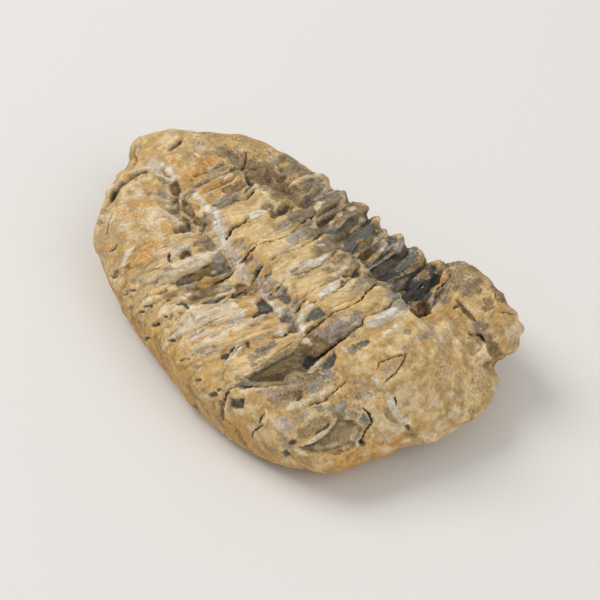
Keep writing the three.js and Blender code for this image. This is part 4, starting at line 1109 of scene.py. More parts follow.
PATCH_MARKS: tuple[Mark, ...] = (
    # The crests of the front far plates: a pale blade, a pink patch with a grey lobe, an orange patch.
    Area(((9.6, 19.4), (11.2, 19), (12.6, 15.8), (13.6, 13.4), (12.6, 12.2), (10.8, 14.8)),
        PALE, -0.1, 0.4, 0.85),
    Spot(((12.4, 16), (13.2, 14.2)), CALCITE, 0.0, 0.5, 0.7),
    patch(BROWN, 0.4, 0.62, (12.9, 12), (14.4, 13), (16.4, 9.4), (15, 8.9), (13.2, 10)),
    Spot(((13.8, 11.8), (14.4, 10.8)), ORANGE, 0.0, 0.5, 0.75),
    patch(PINK, 0.3, 0.9, (14.4, 18.6), (16.2, 18.2), (16.9, 16), (15.6, 16.2), (14.4, 17.2)),
    patch(GREY, 0.4, 0.8, (16.4, 19.6), (18.4, 19.2), (18.8, 16.8), (17.2, 16.4), (16.5, 18)),
    patch(ORANGE, 0.35, 0.75, (19.2, 19.8), (21, 19.6), (22.4, 17.8), (21.4, 17.2), (19.8, 18.2)),
    *stains(GREY, 0.9, 0.62, (19.3, 9.4), (23.4, 12.8), (23.6, 11.4), (4.6, 16.8), (-5.4, 16.4)),
    *stains(PALE, 1.0, 0.7, (-0.8, 17.6), (0.8, 16.4), (5, 16.2), (-11, 17.4), (1.6, 7.2), (13.2, 6.8)),
    *stains(SHELL, 0.9, 0.8, (20, 15.4), (20.2, 13.6), (15.8, 11), (16.3, 9.4), (-4, 13.2), (4.4, 9)),
    # Dark places along the far furrow and over the far side of the head and tail.
    *stains(DUN, 1.3, 0.75, (25, 20.4), (25.2, 22.4), (31, 20.4), (31.6, 22.6), (33, 19.4),
        (-26.6, 7.8)),
    *stains(DUN, 1.4, 0.62, (-28.4, 6), (-20, 4.6), (-12.8, 5.8), (-6, 6.8), (-6.4, 3.6), (-28.4, 3)),
    *stains(BROWN, 1.3, 0.7, (36, 24.4), (38, 23.4), (24.6, 16.4), (43, 13.6), (45, 15.4)),
    *stains(SHELL, 1.0, 0.8, (12.8, 17.8), (19, 18), (20.4, 14.4), (16, 10), (-6, 6.4), (10.2, 8.6)),
    *stains(BROWN, 1.4, 0.72, (25.4, 20), (24.8, 21.6), (-26.8, 7), (-5.6, 4.4), (2.6, 12), (-8.6, 13)),
    # Dark places along the near furrow and behind the head.
    *stains(VIOLET, 0.9, 0.85, (8.4, -9.6), (10.2, -10.2), (12, -10.4), (13.8, -10.6), (17.6, -8)),
    *stains(DUN, 0.9, 0.8, (33, -6), (29.4, -4.4)),
    *stains(SHELL, 0.8, 0.62, (34.8, -14), (35, -15.4), (34.4, -12.8)),
    *stains(DUN, 1.0, 0.7, (-26, -8.4), (-27.4, -8.6), (-11.8, -7), (-10.4, -8.4), (-17, -3.4),
        (-20.6, -6)),
    # The floor of the great gap is a paler olive than its walls.
    Area(((28.6, -15.6), (30.4, -16.4), (31, -20), (32.2, -22), (31, -25.4), (29.6, -25.4),
        (28.6, -21)), OLIVE, 0.0, 0.5, 0.95, through=True),
    Spot(((30.6, -22.4), (30.2, -24)), PALE, 0.0, 0.7, 0.4, through=True),
    # Pale places over the near side.
    *stains(PALE, 1.0, 0.85, (4.6, -18.4), (5, -20.6), (18.4, -28.6), (19.4, -27.4), (-13.4, -13.6)),
    *stains(PALE, 1.2, 0.75, (-15.6, -12.8), (-17.6, -13.2), (-2, -20.6), (-2.6, -23.4), (13.6, -21)),
    *stains(GREY, 0.9, 0.6, (28.2, -15.2), (27.4, -17.4), (27.4, -20)),
    *stains(PALE, 1.2, 0.55, (52.6, -22), (52.4, -19.4)),
    *stains(PALE, 1.2, 0.62, (26, -3), (25, -1.8), (16, 2), (11.2, -2), (-13.4, 1), (40.6, -11)),
    *stains(PALE, 1.6, 0.55, (37.4, -36), (40, -32.6), (45, -34.4), (55.4, -15), (30.6, 10)),
)

# A later mark lies over an earlier one.
MARKS: tuple[Mark, ...] = (
    *SOFT_MARKS, *TAIL_MARKS, *AXIS_MARKS, *VEIN_MARKS,
    *NEAR_SIDE_MARKS, *HEAD_MARKS, *FAR_SIDE_MARKS, *PATCH_MARKS,
)


# ------------------------------------------------------------------------------------- the skin


class Skin:
    """The stone's surface as plain arrays, in millimetres, while it is carved and stained.

    Attributes:
        mesh: The mesh it is read from and written to, in metres.
        place: Where each vertex is.
        normal: Which way each vertex faces.
        start: The vertex at one end of each edge.
        end: The vertex at its other end.
        links: How many edges meet at each vertex.
        masks: How fully each mineral covers each vertex, from 0 to 1.
        crack_side: The distance to the nearest crack, in its half widths, signed by the side.
        crack_near: How dark that crack's painted shadow line is, from 0 to 1.
        layers: The height in the flaking layers, counted in layers.
        plates: 1 where streaks run along the plates, 0 on the smooth head and tail.
    """

    def __init__(self, mesh: bpy.types.Mesh) -> None:
        """Reads a mesh into arrays.

        Args:
            mesh: The even skin, in metres.
        """
        self.mesh = mesh
        count = len(mesh.vertices)
        flat = np.zeros(count * 3, np.float32)
        mesh.vertices.foreach_get("co", flat)
        self.place = flat.reshape(-1, 3).astype(float) / MM
        ends = np.zeros(len(mesh.edges) * 2, np.int32)
        mesh.edges.foreach_get("vertices", ends)
        self.start, self.end = ends.reshape(-1, 2).T
        self.links = np.bincount(self.start, minlength=count) + np.bincount(self.end, minlength=count)
        self.masks = {tone: np.zeros(count) for tone in Tone}
        self.crack_side = np.full(count, NO_CRACK)
        self.crack_near = np.zeros(count)
        self.layers = np.zeros(count)
        self.plates = np.zeros(count)
        self.normal = np.zeros((count, 3))
        self.settle()

    def settle(self) -> None:
        """Writes the places back to the mesh and reads its normals afresh."""
        self.mesh.vertices.foreach_set("co", (self.place * MM).astype(np.float32).ravel())
        self.mesh.update()
        flat = np.zeros(len(self.place) * 3, np.float32)
        self.mesh.vertices.foreach_get("normal", flat)
        self.normal = flat.reshape(-1, 3).astype(float)

    def spread(self, values: np.ndarray, rounds: int) -> np.ndarray:
        """Evens out a value over the skin.

        Args:
            values: One number, or one row, for each vertex.
            rounds: How many times each vertex goes halfway to its neighbours' mean.

        Returns:
            The evened values.
        """
        rows = values.reshape(len(values), -1).astype(float)
        count = len(rows)
        for _ in range(rounds):
            total = np.empty_like(rows)
            for column in range(rows.shape[1]):
                one = rows[:, column]
                total[:, column] = np.bincount(self.start, one[self.end], count)
                total[:, column] += np.bincount(self.end, one[self.start], count)
            rows = rows + 0.5 * (total / self.links[:, None] - rows)
        return rows.reshape(values.shape)

    def stand_out(self, rounds: int) -> np.ndarray:
        """Finds how far each vertex stands out from the skin evened out that many times."""
        return np.einsum("ij,ij->i", self.place - self.spread(self.place, rounds), self.normal)

    def push(self, height: np.ndarray, direction: np.ndarray) -> None:
        """Moves each vertex by its height, in millimetres, along its row of directions."""
        self.place += height[:, None] * direction
        self.settle()


def apply_modifiers(thing: bpy.types.Object) -> None:
    """Gives an object the mesh that its modifiers make, and takes them off.

    Args:
        thing: The object.
    """
    depsgraph = bpy.context.evaluated_depsgraph_get()
    thing.data = bpy.data.meshes.new_from_object(thing.evaluated_get(depsgraph))
    thing.modifiers.clear()


@dataclass
class FossilTrilobite:
    """The whole fossil: one weathered piece of stone.

    Attributes:
        grid: Size of the skin's faces, millimetres.
        underside_slope: How steeply a face looks down, as its normal's Z, to count as the underside.
        underside_share: How many of the hidden underside's faces are kept.
        lean: The leaning plan's direction, as X and Y for each unit of height.
        plan_height: Height where the leaning plan is measured, millimetres.
        rest_height: Below this height the underside keeps the solid's own places, millimetres.
        lump_height: Height of the broad unevenness, millimetres.
        pebble_height: Height of the small unevenness, millimetres.
        chip_height: Height of the broken chips, millimetres.
        crease_depth: Depth of the creases that run along the plates, millimetres.
        flake_height: Thickness of the layers that have flaked off in places, millimetres.
        flake_size: Width of the largest flakes, millimetres.
        flake_layers: How many layers are laid bare above, and below, the middle one.
        grit_height: Height of the finest carved grain, millimetres.
        edge_wander: How far the marks' edges wander, millimetres.
        edge_jitter: How far they jitter from face to face, millimetres.
        stain_blur: How far stains fray past the edges of what is carved, millimetres.
        finish: The look of the bare stone.
    """

    grid: float = 0.365
    underside_slope: float = -0.8
    underside_share: float = 0.05
    lean: tuple[float, float] = (0.91, -0.637)
    plan_height: float = 20.0
    rest_height: float = 1.2
    lump_height: float = 0.24
    pebble_height: float = 0.12
    chip_height: float = 0.13
    crease_depth: float = 0.2
    flake_height: float = 0.16
    flake_size: float = 7.0
    flake_layers: float = 2.6
    grit_height: float = 0.06
    edge_wander: float = 0.34
    edge_jitter: float = 0.16
    stain_blur: float = 0.35
    finish: StoneFinish = StoneFinish()

    def build(self) -> bpy.types.Object:
        """Makes the finished stone.

        Returns:
            The stone's object, at the origin, unturned and unscaled.
        """
        stone = self.grow_skin()
        skin = Skin(stone.data)
        plan, facing = self.leaning_plan(skin)
        self.shove(skin, plan)
        self.soften(skin, plan, facing)
        self.lay_shell_and_shade_on_plates(skin)
        self.carve(skin, plan, facing)
        self.roughen(skin)
        self.store_masks(skin)
        stone.data.materials.clear()
        stone.data.materials.append(StoneMaterial(self.finish).build())
        stone.data.polygons.foreach_set("use_smooth", np.ones(len(stone.data.polygons), bool))
        return stone

    def grow_skin(self) -> bpy.types.Object:
        """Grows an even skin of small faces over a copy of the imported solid.

        Returns:
            The new object.
        """
        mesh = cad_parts[NODE].data.copy()
        shell = bmesh.new()
        shell.from_mesh(mesh)
        bmesh.ops.remove_doubles(shell, verts=shell.verts[:], dist=0.01 * MM)
        shell.to_mesh(mesh)
        shell.free()
        stone = bpy.data.objects.new("fossil_stone", mesh)
        bpy.context.scene.collection.objects.link(stone)
        even = stone.modifiers.new("even skin", "REMESH")
        even.mode = "VOXEL"
        even.voxel_size = self.grid * MM
        apply_modifiers(stone)
        normals = np.zeros(len(stone.data.vertices) * 3, np.float32)
        stone.data.vertices.foreach_get("normal", normals)
        under = np.nonzero(normals[2::3] < self.underside_slope)[0]
        group = stone.vertex_groups.new(name="underside")
        group.add(under.tolist(), 1.0, "REPLACE")
        thin = stone.modifiers.new("plainer underside", "DECIMATE")
        thin.vertex_group = group.name
        thin.ratio = 1.0 - (1.0 - self.underside_share) * len(under) / len(stone.data.vertices)
        apply_modifiers(stone)
        stone.vertex_groups.clear()
        stone.data.name = "fossil_stone"
        log.info("skin of %d faces, %d vertices", len(stone.data.polygons), len(stone.data.vertices))
        return stone

    def leaning_plan(self, skin: Skin) -> tuple[np.ndarray, np.ndarray]:
        """Places every vertex in the leaning plan and finds which of them it shows.

        Args:
            skin: The skin.

        Returns:
            The plan's X and Y for each vertex, and how fully the plan shows it, from 0 to 1.
        """
        rise = skin.place[:, 2] - self.plan_height
        plan = skin.place[:, :2] - rise[:, None] * np.array(self.lean)
        toward = Vector((*self.lean, 1.0)).normalized()
        places = [Vector(place) for place in skin.place]
        tree = BVHTree.FromPolygons(places, [tuple(face.vertices) for face in skin.mesh.polygons])
        shown = np.zeros(len(plan))
        for index in np.nonzero(skin.normal @ np.array(toward) > -0.1)[0]:
            start = Vector(skin.place[index] + 0.5 * skin.normal[index]) + 0.3 * toward
            shown[index] = tree.ray_cast(start, toward)[0] is None
        return plan, skin.spread(shown, 2)

    def shove(self, skin: Skin, plan: np.ndarray) -> None:
        """Moves the edges of the stone in or out to their true outline.

        Args:
            skin: The skin.
            plan: The plan's X and Y for each vertex; it moves with the skin.
        """
        for shove in SHOVES:
            off = plan - (shove.x, shove.y)
            share = 1.0 - smooth_step(np.hypot(*off.T) / shove.radius, 0.25, 1.0)
            shift = share[:, None] * np.array([shove.along, shove.across])
            skin.place[:, :2] += shift
            plan += shift
        skin.settle()

    def soften(self, skin: Skin, plan: np.ndarray, facing: np.ndarray) -> None:
        """Wears down the steps of the near side's plates, which are soft ribs on the real stone.

        Args:
            skin: The skin.
            plan: The plan's X and Y for each vertex.
            facing: How fully the plan shows each vertex.
        """
        near = smooth_step(plan[:, 0], 8.0, 12.0) * smooth_step(plan[:, 0], 28.5, 26.0)
        near *= smooth_step(skin.place[:, 1], -8.0, -13.0) * facing
        worn = skin.spread(skin.place, 24)
        skin.place += 0.7 * near[:, None] * (worn - skin.place)
        skin.settle()

    def carve(self, skin: Skin, plan: np.ndarray, facing: np.ndarray) -> None:
        """Cuts and stains every mark.

        Args:
            skin: The skin.
            plan: The plan's X and Y for each vertex.
            facing: How fully the plan shows each vertex.
        """
        wander = np.stack([layered_noise(skin.place, 2.2, 3, 4), layered_noise(skin.place, 2.2, 5, 4)], 1)
        jitter = np.stack([layered_noise(skin.place, 0.8, 7, 2), layered_noise(skin.place, 0.8, 9, 2)], 1)
        bent = plan + self.edge_wander * wander + self.edge_jitter * jitter
        outward = skin.spread(skin.normal, 6)
        outward /= np.linalg.norm(outward, axis=1)[:, None]
        upper = smooth_step(outward[:, 2], -0.3, 0.0)
        height = np.zeros(len(plan))
        for mark in MARKS:
            near = mark.near(bent)
            taken = (upper if mark.through else facing)[near]
            height[near] -= mark.depth * mark.cover(bent[near]) * taken
            if isinstance(mark, Crack):
                side = mark.side(bent[near])
                closer = (np.abs(side) < np.abs(skin.crack_side[near])) & (facing[near] > 0.3)
                skin.crack_side[near[closer]] = side[closer]
                reached = smooth_step(np.abs(side), 5.5, 3.5) * mark.strength
                skin.crack_near[near[closer]] = reached[closer]
            if mark.tone is None:
                continue
            stain = mark.cover(bent[near], self.stain_blur) * taken * mark.strength
            for tone, mask in skin.masks.items():
                if tone is not mark.tone:
                    mask[near] *= 1.0 - smooth_step(stain, 0.2, 0.9)
            mask = skin.masks[mark.tone]
            mask[near] = np.maximum(mask[near], stain)
        skin.push(height, outward)
        log.info("%d marks carved", len(MARKS))

    def lay_shell_and_shade_on_plates(self, skin: Skin) -> None:
        """Lays dark shell, partly the shell's own colour and partly painted shade, over the steep faces of
        the far plates, which look towards the head and away from the key light.

        Args:
            skin: The skin.
        """
        x, y, z = skin.place.T
        steep = smooth_step(skin.spread(skin.normal[:, 0], 2), 0.3, 0.6)
        band = smooth_step(y, 9.5, 12.0) * smooth_step(x, -4.0, 12.0) * smooth_step(x, 30.5, 28.5)
        broken = 0.75 + 0.25 * layered_noise(skin.place, 2.5, 61)
        cover = steep * band * smooth_step(z, 8.0, 11.0) * broken
        # Dark shell, with painted shade on the faces that look away from the key light.
        skin.masks[SHELL] = np.maximum(skin.masks[SHELL], 0.95 * cover)

    def roughen(self, skin: Skin) -> None:
        """Adds the lumps, chips, creases, flakes and grain that cover the whole stone.

        Args:
            skin: The skin.
        """
        free = smooth_step(skin.place[:, 2], 0.0, self.rest_height)
        covered = np.maximum(skin.masks[SHELL], 0.8 * skin.masks[OLIVE])
        smoothness = 1.0 - 0.7 * covered
        x, y, z = skin.place.T
        back = x + PLATE_SWEEP * np.abs(y)
        fibres = np.stack([back, 0.42 * y, 0.8 * z], 1)
        large, _ = chips(fibres, 3.0, 71)
        small, edge = chips(fibres, 1.3, 83)
        broken = self.chip_height * (large + 0.45 * small - 0.5 * smooth_step(edge, 0.14, 0.0))
        lumps = self.lump_height * layered_noise(skin.place, 5.5, 11)
        pebbles = self.pebble_height * layered_noise(fibres, 1.9, 23)
        grit = self.grit_height * layered_noise(skin.place, 0.8, 41, 2)
        patchy = 0.35 + 0.65 * smooth_step(layered_noise(skin.place, 6.0, 97), -0.35, 0.45)
        drawn = fibres * (1.0, 0.45, 0.5) + 0.5 * layered_noise(skin.place, 3.0, 131)[:, None]
        crease = smooth_step(np.abs(layered_noise(drawn, 2.6, 139, 2)), 0.13, 0.0)
        creases = self.crease_depth * crease * smooth_step(layered_noise(skin.place, 7.0, 151), -0.3, 0.4)
        plates = smooth_step(back, -26.0, -18.0) * smooth_step(back, 42.0, 33.0)
        plates = plates * smooth_step(y, -32.0, -26.0)
        skin.plates = plates * (1.0 - smooth_step(back, -6.0, -12.0) * smooth_step(y, -8.0, -12.0))
        plates = 0.2 + 0.8 * skin.plates * (1.0 - 0.55 * smooth_step(np.abs(y), 9.0, 6.5))
        skin.layers = 0.5 + plates * self.flake_layers * layered_noise(fibres, self.flake_size, 163, 5)
        step = smooth_step(skin.layers - np.floor(skin.layers), 0.84, 1.0)
        flakes = self.flake_height * (np.floor(skin.layers) + step)
        rough = pebbles + grit + flakes + plates * (patchy * broken - creases)
        skin.push(free * (lumps + smoothness * rough), skin.normal)

    def store_masks(self, skin: Skin) -> None:
        """Writes each mineral's mask, and how hollow or proud the skin is, onto the mesh.

        Args:
            skin: The skin.
        """
        crisp, proud, deep = (skin.stand_out(rounds) for rounds in (4, 14, 120))
        values = {tone.value: mask for tone, mask in skin.masks.items()}
        # proud and deep drive the painted shade in hollows and the brighter crests.
        values["proud"] = np.clip(0.5 + 1.6 * proud + 3.0 * crisp, 0.0, 1.0)
        values["deep"] = np.clip(-0.55 * deep, 0.0, 1.0)
        for name in ("crack_side", "crack_near", "layers", "plates"):
            values[name] = getattr(skin, name)
        for name, numbers in values.items():
            attribute = skin.mesh.attributes.new(name, "FLOAT", "POINT")
            attribute.data.foreach_set("value", numbers.astype(np.float32))


# ------------------------------------------------------------------------------------ materials

Socket = bpy.types.NodeSocket


class NodeBench:
    """Places and joins shader nodes in one node tree.

    Where a method takes a value, it is a socket, a number, a place or a colour.
    """

    def __init__(self, tree: bpy.types.NodeTree) -> None:
        """Takes the tree that the nodes go into.

        Args:
            tree: A material's or a group's node tree.
        """
        self.tree = tree

    def add(self, kind: str, fed: dict | None = None, **settings: object) -> bpy.types.Node:
        """Adds a node.

        Args:
            kind: The node's type name.
            fed: The value of each input that gets one, by the input's name or number.
            **settings: The node's properties.

        Returns:
            The node.
        """
        node = self.tree.nodes.new(kind)
        for name, value in settings.items():
            setattr(node, name, value)
        for name, value in (fed or {}).items():
            self.feed(node.inputs[name], value)
        return node

    def feed(self, target: Socket, value: object) -> None:
        """Links a socket to an input, or sets the input to a plain value.

        Args:
            target: The input.
            value: The value; a colour may leave out its alpha.
        """
        if isinstance(value, Socket):
            self.tree.links.new(value, target)
        elif isinstance(value, tuple) and len(value) < len(target.default_value):
            target.default_value = (*value, 1.0)
        else:
            target.default_value = value

    def math(self, operation: str, first: object, second: object = 0.0) -> Socket:
        """Works out one or two values by an operation of the Math node."""
        return self.add("ShaderNodeMath", {0: first, 1: second}, operation=operation).outputs[0]

    def plus(self, first: object, second: object) -> Socket:
        """Adds two values."""
        return self.math("ADD", first, second)

    def minus(self, first: object, second: object) -> Socket:
        """Takes the second value from the first."""
        return self.math("SUBTRACT", first, second)

    def times(self, first: object, second: object) -> Socket:
        """Multiplies two values."""
        return self.math("MULTIPLY", first, second)

    def vector(self, operation: str, *values: object) -> bpy.types.NodeOutputs:
        """Works out places or colours by an operation of the Vector Math node."""
        return self.add("ShaderNodeVectorMath", dict(enumerate(values)), operation=operation).outputs

    def rise(self, value: Socket, low: float, high: float) -> Socket:
        """Turns a value into a soft step, from 0 at low up to 1 at high."""
        fed = {"Value": value, "From Min": low, "From Max": high}
        return self.add("ShaderNodeMapRange", fed, interpolation_type="SMOOTHSTEP").outputs["Result"]

    def fall(self, value: Socket, low: float, high: float) -> Socket:
        """Turns a value into a soft step, from 1 at low down to 0 at high."""
        return self.minus(1.0, self.rise(value, low, high))

    def blend(self, share: object, first: object, second: object) -> Socket:
        """Mixes two numbers; share is how much of the second there is."""
        return self.add("ShaderNodeMix", {0: share, 2: first, 3: second}, data_type="FLOAT").outputs[0]

    def mix(self, share: object, first: object, second: object, way: str = "MIX") -> Socket:
        """Mixes two colours; share is how much of the second there is."""
        fed = {0: share, 6: first, 7: second}
        return self.add("ShaderNodeMix", fed, data_type="RGBA", blend_type=way).outputs[2]

    def tint(self, share: object, colour: object, factors: object) -> Socket:
        """Multiplies a colour's red, green and blue by factors, so that dark minerals stay dark."""
        return self.mix(share, colour, factors, "MULTIPLY")

    def stored(self, name: str) -> Socket:
        """Reads one of the numbers that the skin keeps at each vertex."""
        return self.add("ShaderNodeAttribute", attribute_name=name).outputs["Fac"]

    def place(self) -> Socket:
        """Reads the place on the stone, in metres."""
        return self.add("ShaderNodeTexCoord").outputs["Object"]

    def swept_place(self) -> Socket:
        """Lays places out along the plates, which sweep back on both sides.

        Returns:
            The swept places, in metres across the plates and shortened along them.
        """
        x, y, z = self.add("ShaderNodeSeparateXYZ", {"Vector": self.place()}).outputs
        swept = self.times(self.math("ABSOLUTE", y), PLATE_SWEEP)
        fed = {"X": self.plus(x, swept), "Y": self.times(y, 0.22), "Z": self.times(z, 0.6)}
        return self.add("ShaderNodeCombineXYZ", fed).outputs["Vector"]


class NodeGroup:
    """A node group whose inputs and outputs are plain numbers.

    Attributes:
        tree: The group's node tree.
        bench: The bench that fills it.
        given: The sockets that carry its inputs.
        result: The sockets that take its outputs.
    """

    def __init__(self, name: str, inputs: tuple[str, ...], outputs: tuple[str, ...]) -> None:
        """Starts the group.

        Args:
            name: The group's name.
            inputs: The names of its inputs.
            outputs: The names of its outputs.
        """
        self.tree = bpy.data.node_groups.new(name, "ShaderNodeTree")
        for side, names in (("INPUT", inputs), ("OUTPUT", outputs)):
            for socket in names:
                self.tree.interface.new_socket(socket, in_out=side, socket_type="NodeSocketFloat")
        self.bench = NodeBench(self.tree)
        self.given = self.bench.add("NodeGroupInput").outputs
        self.result = self.bench.add("NodeGroupOutput").inputs


def speckle_group() -> bpy.types.NodeTree:
    """Builds the group that puts out the drifts, blotches, specks and fibres of the stone.

    Returns:
        The node group: inputs Broad, Middle, Fine, Streak, Fibre and Grain are noise scales; its
        outputs carry the same names. Streak and Fibre run along the plates.
    """
    noises = {
        "Broad": (3.0, 0.55),
        "Middle": (6.0, 0.72),
        "Fine": (3.0, 0.72),
        "Streak": (6.0, 0.68),
        "Fibre": (3.0, 0.7),
        "Grain": (3.0, 0.7),
    }
    group = NodeGroup("stone speckle", tuple(noises), tuple(noises))
    bench = group.bench
    even, swept = bench.place(), bench.swept_place()
    for name, (detail, roughness) in noises.items():
        place = swept if name in ("Streak", "Fibre") else even
        fed = {"Detail": detail, "Roughness": roughness, "Vector": place, "Scale": group.given[name]}
        bench.feed(group.result[name], bench.add("ShaderNodeTexNoise", fed).outputs["Fac"])
    return group.tree


def facet_group() -> bpy.types.NodeTree:
    """Builds the group that breaks the stone into small flat facets, each tilted its own way.

    Returns:
        The node group: input Scale is how many facets fit in a metre, and Plates is 1 where they
        run along the plates; outputs Height, in widths of a facet, and Joint, a mask of the joints
        between facets.
    """
    group = NodeGroup("broken facets", ("Scale", "Plates"), ("Height", "Joint"))
    bench = group.bench
    middle = (0.5, 0.5, 0.5)
    on_plates = bench.math("GREATER_THAN", group.given["Plates"], 0.5)
    fed = {0: on_plates, 4: bench.place(), 5: bench.swept_place()}
    laid_out = bench.add("ShaderNodeMix", fed, data_type="VECTOR").outputs[1]
    fed = {0: laid_out, "Scale": group.given["Scale"]}
    along = bench.add("ShaderNodeVectorMath", fed, operation="SCALE").outputs[0]
    bent = bench.add("ShaderNodeTexNoise", {"Scale": 1.3, "Vector": along}).outputs["Color"]
    place = bench.vector("MULTIPLY_ADD", bent, middle, along)[0]

    fed = {"Scale": 1.0, "Vector": place}
    cells = bench.add("ShaderNodeTexVoronoi", fed).outputs
    off = bench.vector("SUBTRACT", place, cells["Position"])[0]
    tilt = bench.vector("SUBTRACT", cells["Color"], middle)[0]
    slope = bench.vector("DOT_PRODUCT", off, tilt)["Value"]
    step = bench.add("ShaderNodeSeparateXYZ", {"Vector": tilt}).outputs["X"]
    bench.feed(group.result["Height"], bench.plus(slope, bench.times(step, 0.35)))
    edges = bench.add("ShaderNodeTexVoronoi", fed, feature="DISTANCE_TO_EDGE").outputs["Distance"]
    bench.feed(group.result["Joint"], bench.fall(edges, 0.0, 0.07))
    return group.tree


def ragged_group() -> bpy.types.NodeTree:
    """Builds the group that gives a mask a ragged mineral edge.

    Returns:
        The node group: inputs Mask, Noise and Ragged; output Mask.
    """
    group = NodeGroup("ragged edge", ("Mask", "Noise", "Ragged"), ("Mask",))
    bench = group.bench
    mask, noise, ragged = (group.given[name] for name in ("Mask", "Noise", "Ragged"))
    bite = bench.times(bench.times(bench.minus(noise, 0.5), ragged), 3.0)
    crisp = bench.rise(bench.plus(mask, bite), 0.26, 0.62)
    bench.feed(group.result["Mask"], bench.times(crisp, bench.rise(mask, 0.0, 0.25)))
    return group.tree


class StoneMaterial:
    """The one material of the fossil.

    Attributes:
        look: The look of the bare stone.
        material: The material itself.
        bench: The bench of its node tree.
        broad: Noise of the broad drifts; middle, fine, streak and fibre are the finer noises.
        plates: 1 where streaks run along the plates, 0 on the smooth head and tail.
        blotch: Noise of the blotches, half of it drawn out along the plates.
        layers: The height in the flaking layers, with a ragged edge.
        facets: The outputs of the large facets and of the small ones.
    """

    def __init__(self, look: StoneFinish) -> None:
        """Starts the material with the patterns that its colours and its grain share.

        Args:
            look: The look of the bare stone.
        """
        self.look = look
        self.material = bpy.data.materials.new("weathered ochre stone")
        self.material.use_nodes = True
        self.material.node_tree.nodes.clear()
        self.bench = bench = NodeBench(self.material.node_tree)
        sizes = {"Broad": look.broad, "Middle": look.middle, "Fine": look.fine, "Streak": look.streak,
                 "Fibre": look.fibre, "Grain": look.grain}
        speckle = bench.add("ShaderNodeGroup", node_tree=speckle_group())
        for name, size in sizes.items():
            bench.feed(speckle.inputs[name], 1.0 / (size * MM))
        self.broad, self.middle, self.fine, streak, fibre, grain = (speckle.outputs[name] for name in sizes)
        self.plates = bench.stored("plates")
        self.streak = bench.blend(self.plates, self.middle, streak)
        self.fibre = bench.blend(bench.times(self.plates, 0.55), grain, fibre)
        self.blotch = bench.plus(bench.times(self.middle, 0.5), bench.times(self.streak, 0.5))
        self.layers = bench.plus(bench.stored("layers"), bench.times(bench.minus(self.fine, 0.5), 0.5))
        self.facets = []
        tree = facet_group()
        for size in (look.facet, 0.42 * look.facet):
            facet = bench.add("ShaderNodeGroup", node_tree=tree)
            bench.feed(facet.inputs["Scale"], 1.0 / (size * MM))
            bench.feed(facet.inputs["Plates"], self.plates)
            self.facets.append(facet.outputs)

    def build(self) -> bpy.types.Material:
        """Builds the material.

        Returns:
            The material.
        """
        colour, roughness = self.lay_minerals(self.mix_ochre())
        colour = self.paint_crack_and_flake_shade(self.shade_hollows_and_pale_crests(self.speckle(colour)))
        fed = {"Base Color": colour, "Roughness": roughness, "Normal": self.raise_grain()}
        shader = self.bench.add("ShaderNodeBsdfPrincipled", {**fed, "Specular IOR Level": 0.3})
        self.bench.add("ShaderNodeOutputMaterial", {"Surface": shader.outputs["BSDF"]})
        return self.material

    def mix_ochre(self) -> Socket:
        """Mixes the bare stone: dark and light ochre, with rusty, sandy and ashy drifts.

        Returns:
            Its colour.
        """
        bench, look = self.bench, self.look
        layer = bench.add("ShaderNodeTexWhiteNoise", noise_dimensions="1D")
        bench.feed(layer.inputs["W"], bench.math("FLOOR", self.layers))
        tint = bench.times(bench.minus(layer.outputs["Value"], 0.5), 0.12)
        drifts = bench.plus(self.broad, tint)
        colour = bench.mix(bench.rise(self.blotch, 0.40, 0.60), look.ochre_dark, look.ochre_light)
        overlays = (
            (bench.rise(drifts, 0.50, 0.62), 0.7, look.rust),
            (bench.fall(drifts, 0.36, 0.47), 0.6, look.sand),
            (bench.rise(self.streak, 0.54, 0.64), 0.55, look.sand),
            (bench.fall(bench.plus(self.blotch, tint), 0.36, 0.44), 0.65, look.ash),
        )
        for mask, strength, over in overlays:
            colour = bench.mix(bench.times(mask, strength), colour, over)
        return colour

    def lay_minerals(self, colour: Socket) -> tuple[Socket, Socket]:
        """Lays the minerals, and the near-black painted shadow, over the bare stone where their masks are.

        Args:
            colour: The bare stone's colour.

        Returns:
            The colour and the roughness with the minerals on.
        """
        bench = self.bench
        ragged = ragged_group()
        fine_bite = bench.times(self.fine, 0.45)
        roughness: object = self.look.roughness
        fibrous = (CALCITE, PINK, PALE, ORANGE, GOLD)
        for finish in TONE_FINISHES:
            frayed = self.streak if finish.tone in fibrous else self.middle
            edge = bench.add("ShaderNodeGroup", node_tree=ragged)
            bench.feed(edge.inputs["Mask"], bench.stored(finish.tone.value))
            bench.feed(edge.inputs["Noise"], bench.plus(bench.times(frayed, 0.55), fine_bite))
            bench.feed(edge.inputs["Ragged"], finish.ragged)
            covered = edge.outputs["Mask"]
            mottle = bench.rise(bench.plus(self.blotch, self.fibre), 0.84, 1.16)
            colour = bench.mix(covered, colour, bench.mix(mottle, finish.dark, finish.light))
            change = bench.times(covered, finish.roughness - self.look.roughness)
            roughness = bench.plus(roughness, change)
        return colour, roughness

    def speckle(self, colour: Socket) -> Socket:
        """Adds specks and fibres that run through every mineral, darker and lighter than it, and painted
        shade along the facet joints on the plates.

        Args:
            colour: The colour without them.

        Returns:
            The colour with them.
        """
        bench, look = self.bench, self.look
        fissure_shade = bench.times(self.facets[0]["Joint"], bench.rise(self.streak, 0.42, 0.56))
        lively = bench.plus(bench.times(self.plates, 1.0 - look.calm), look.calm)
        specks = (
            (bench.rise(self.fine, 0.55, 0.68), 0.42, look.dull),
            (bench.fall(self.fine, 0.32, 0.45), 0.42, look.bright),
            (bench.rise(self.fibre, 0.53, 0.66), 0.33, look.shade),
            (bench.fall(self.fibre, 0.34, 0.46), 0.38, look.bright),
            # Painted shade along the facet joints, which are only bumped and cast no shadow.
            (bench.times(fissure_shade, self.plates), 0.24, look.shade),
        )
        for mask, strength, speck in specks:
            colour = bench.tint(bench.times(bench.times(mask, strength), lively), colour, speck)
        return colour

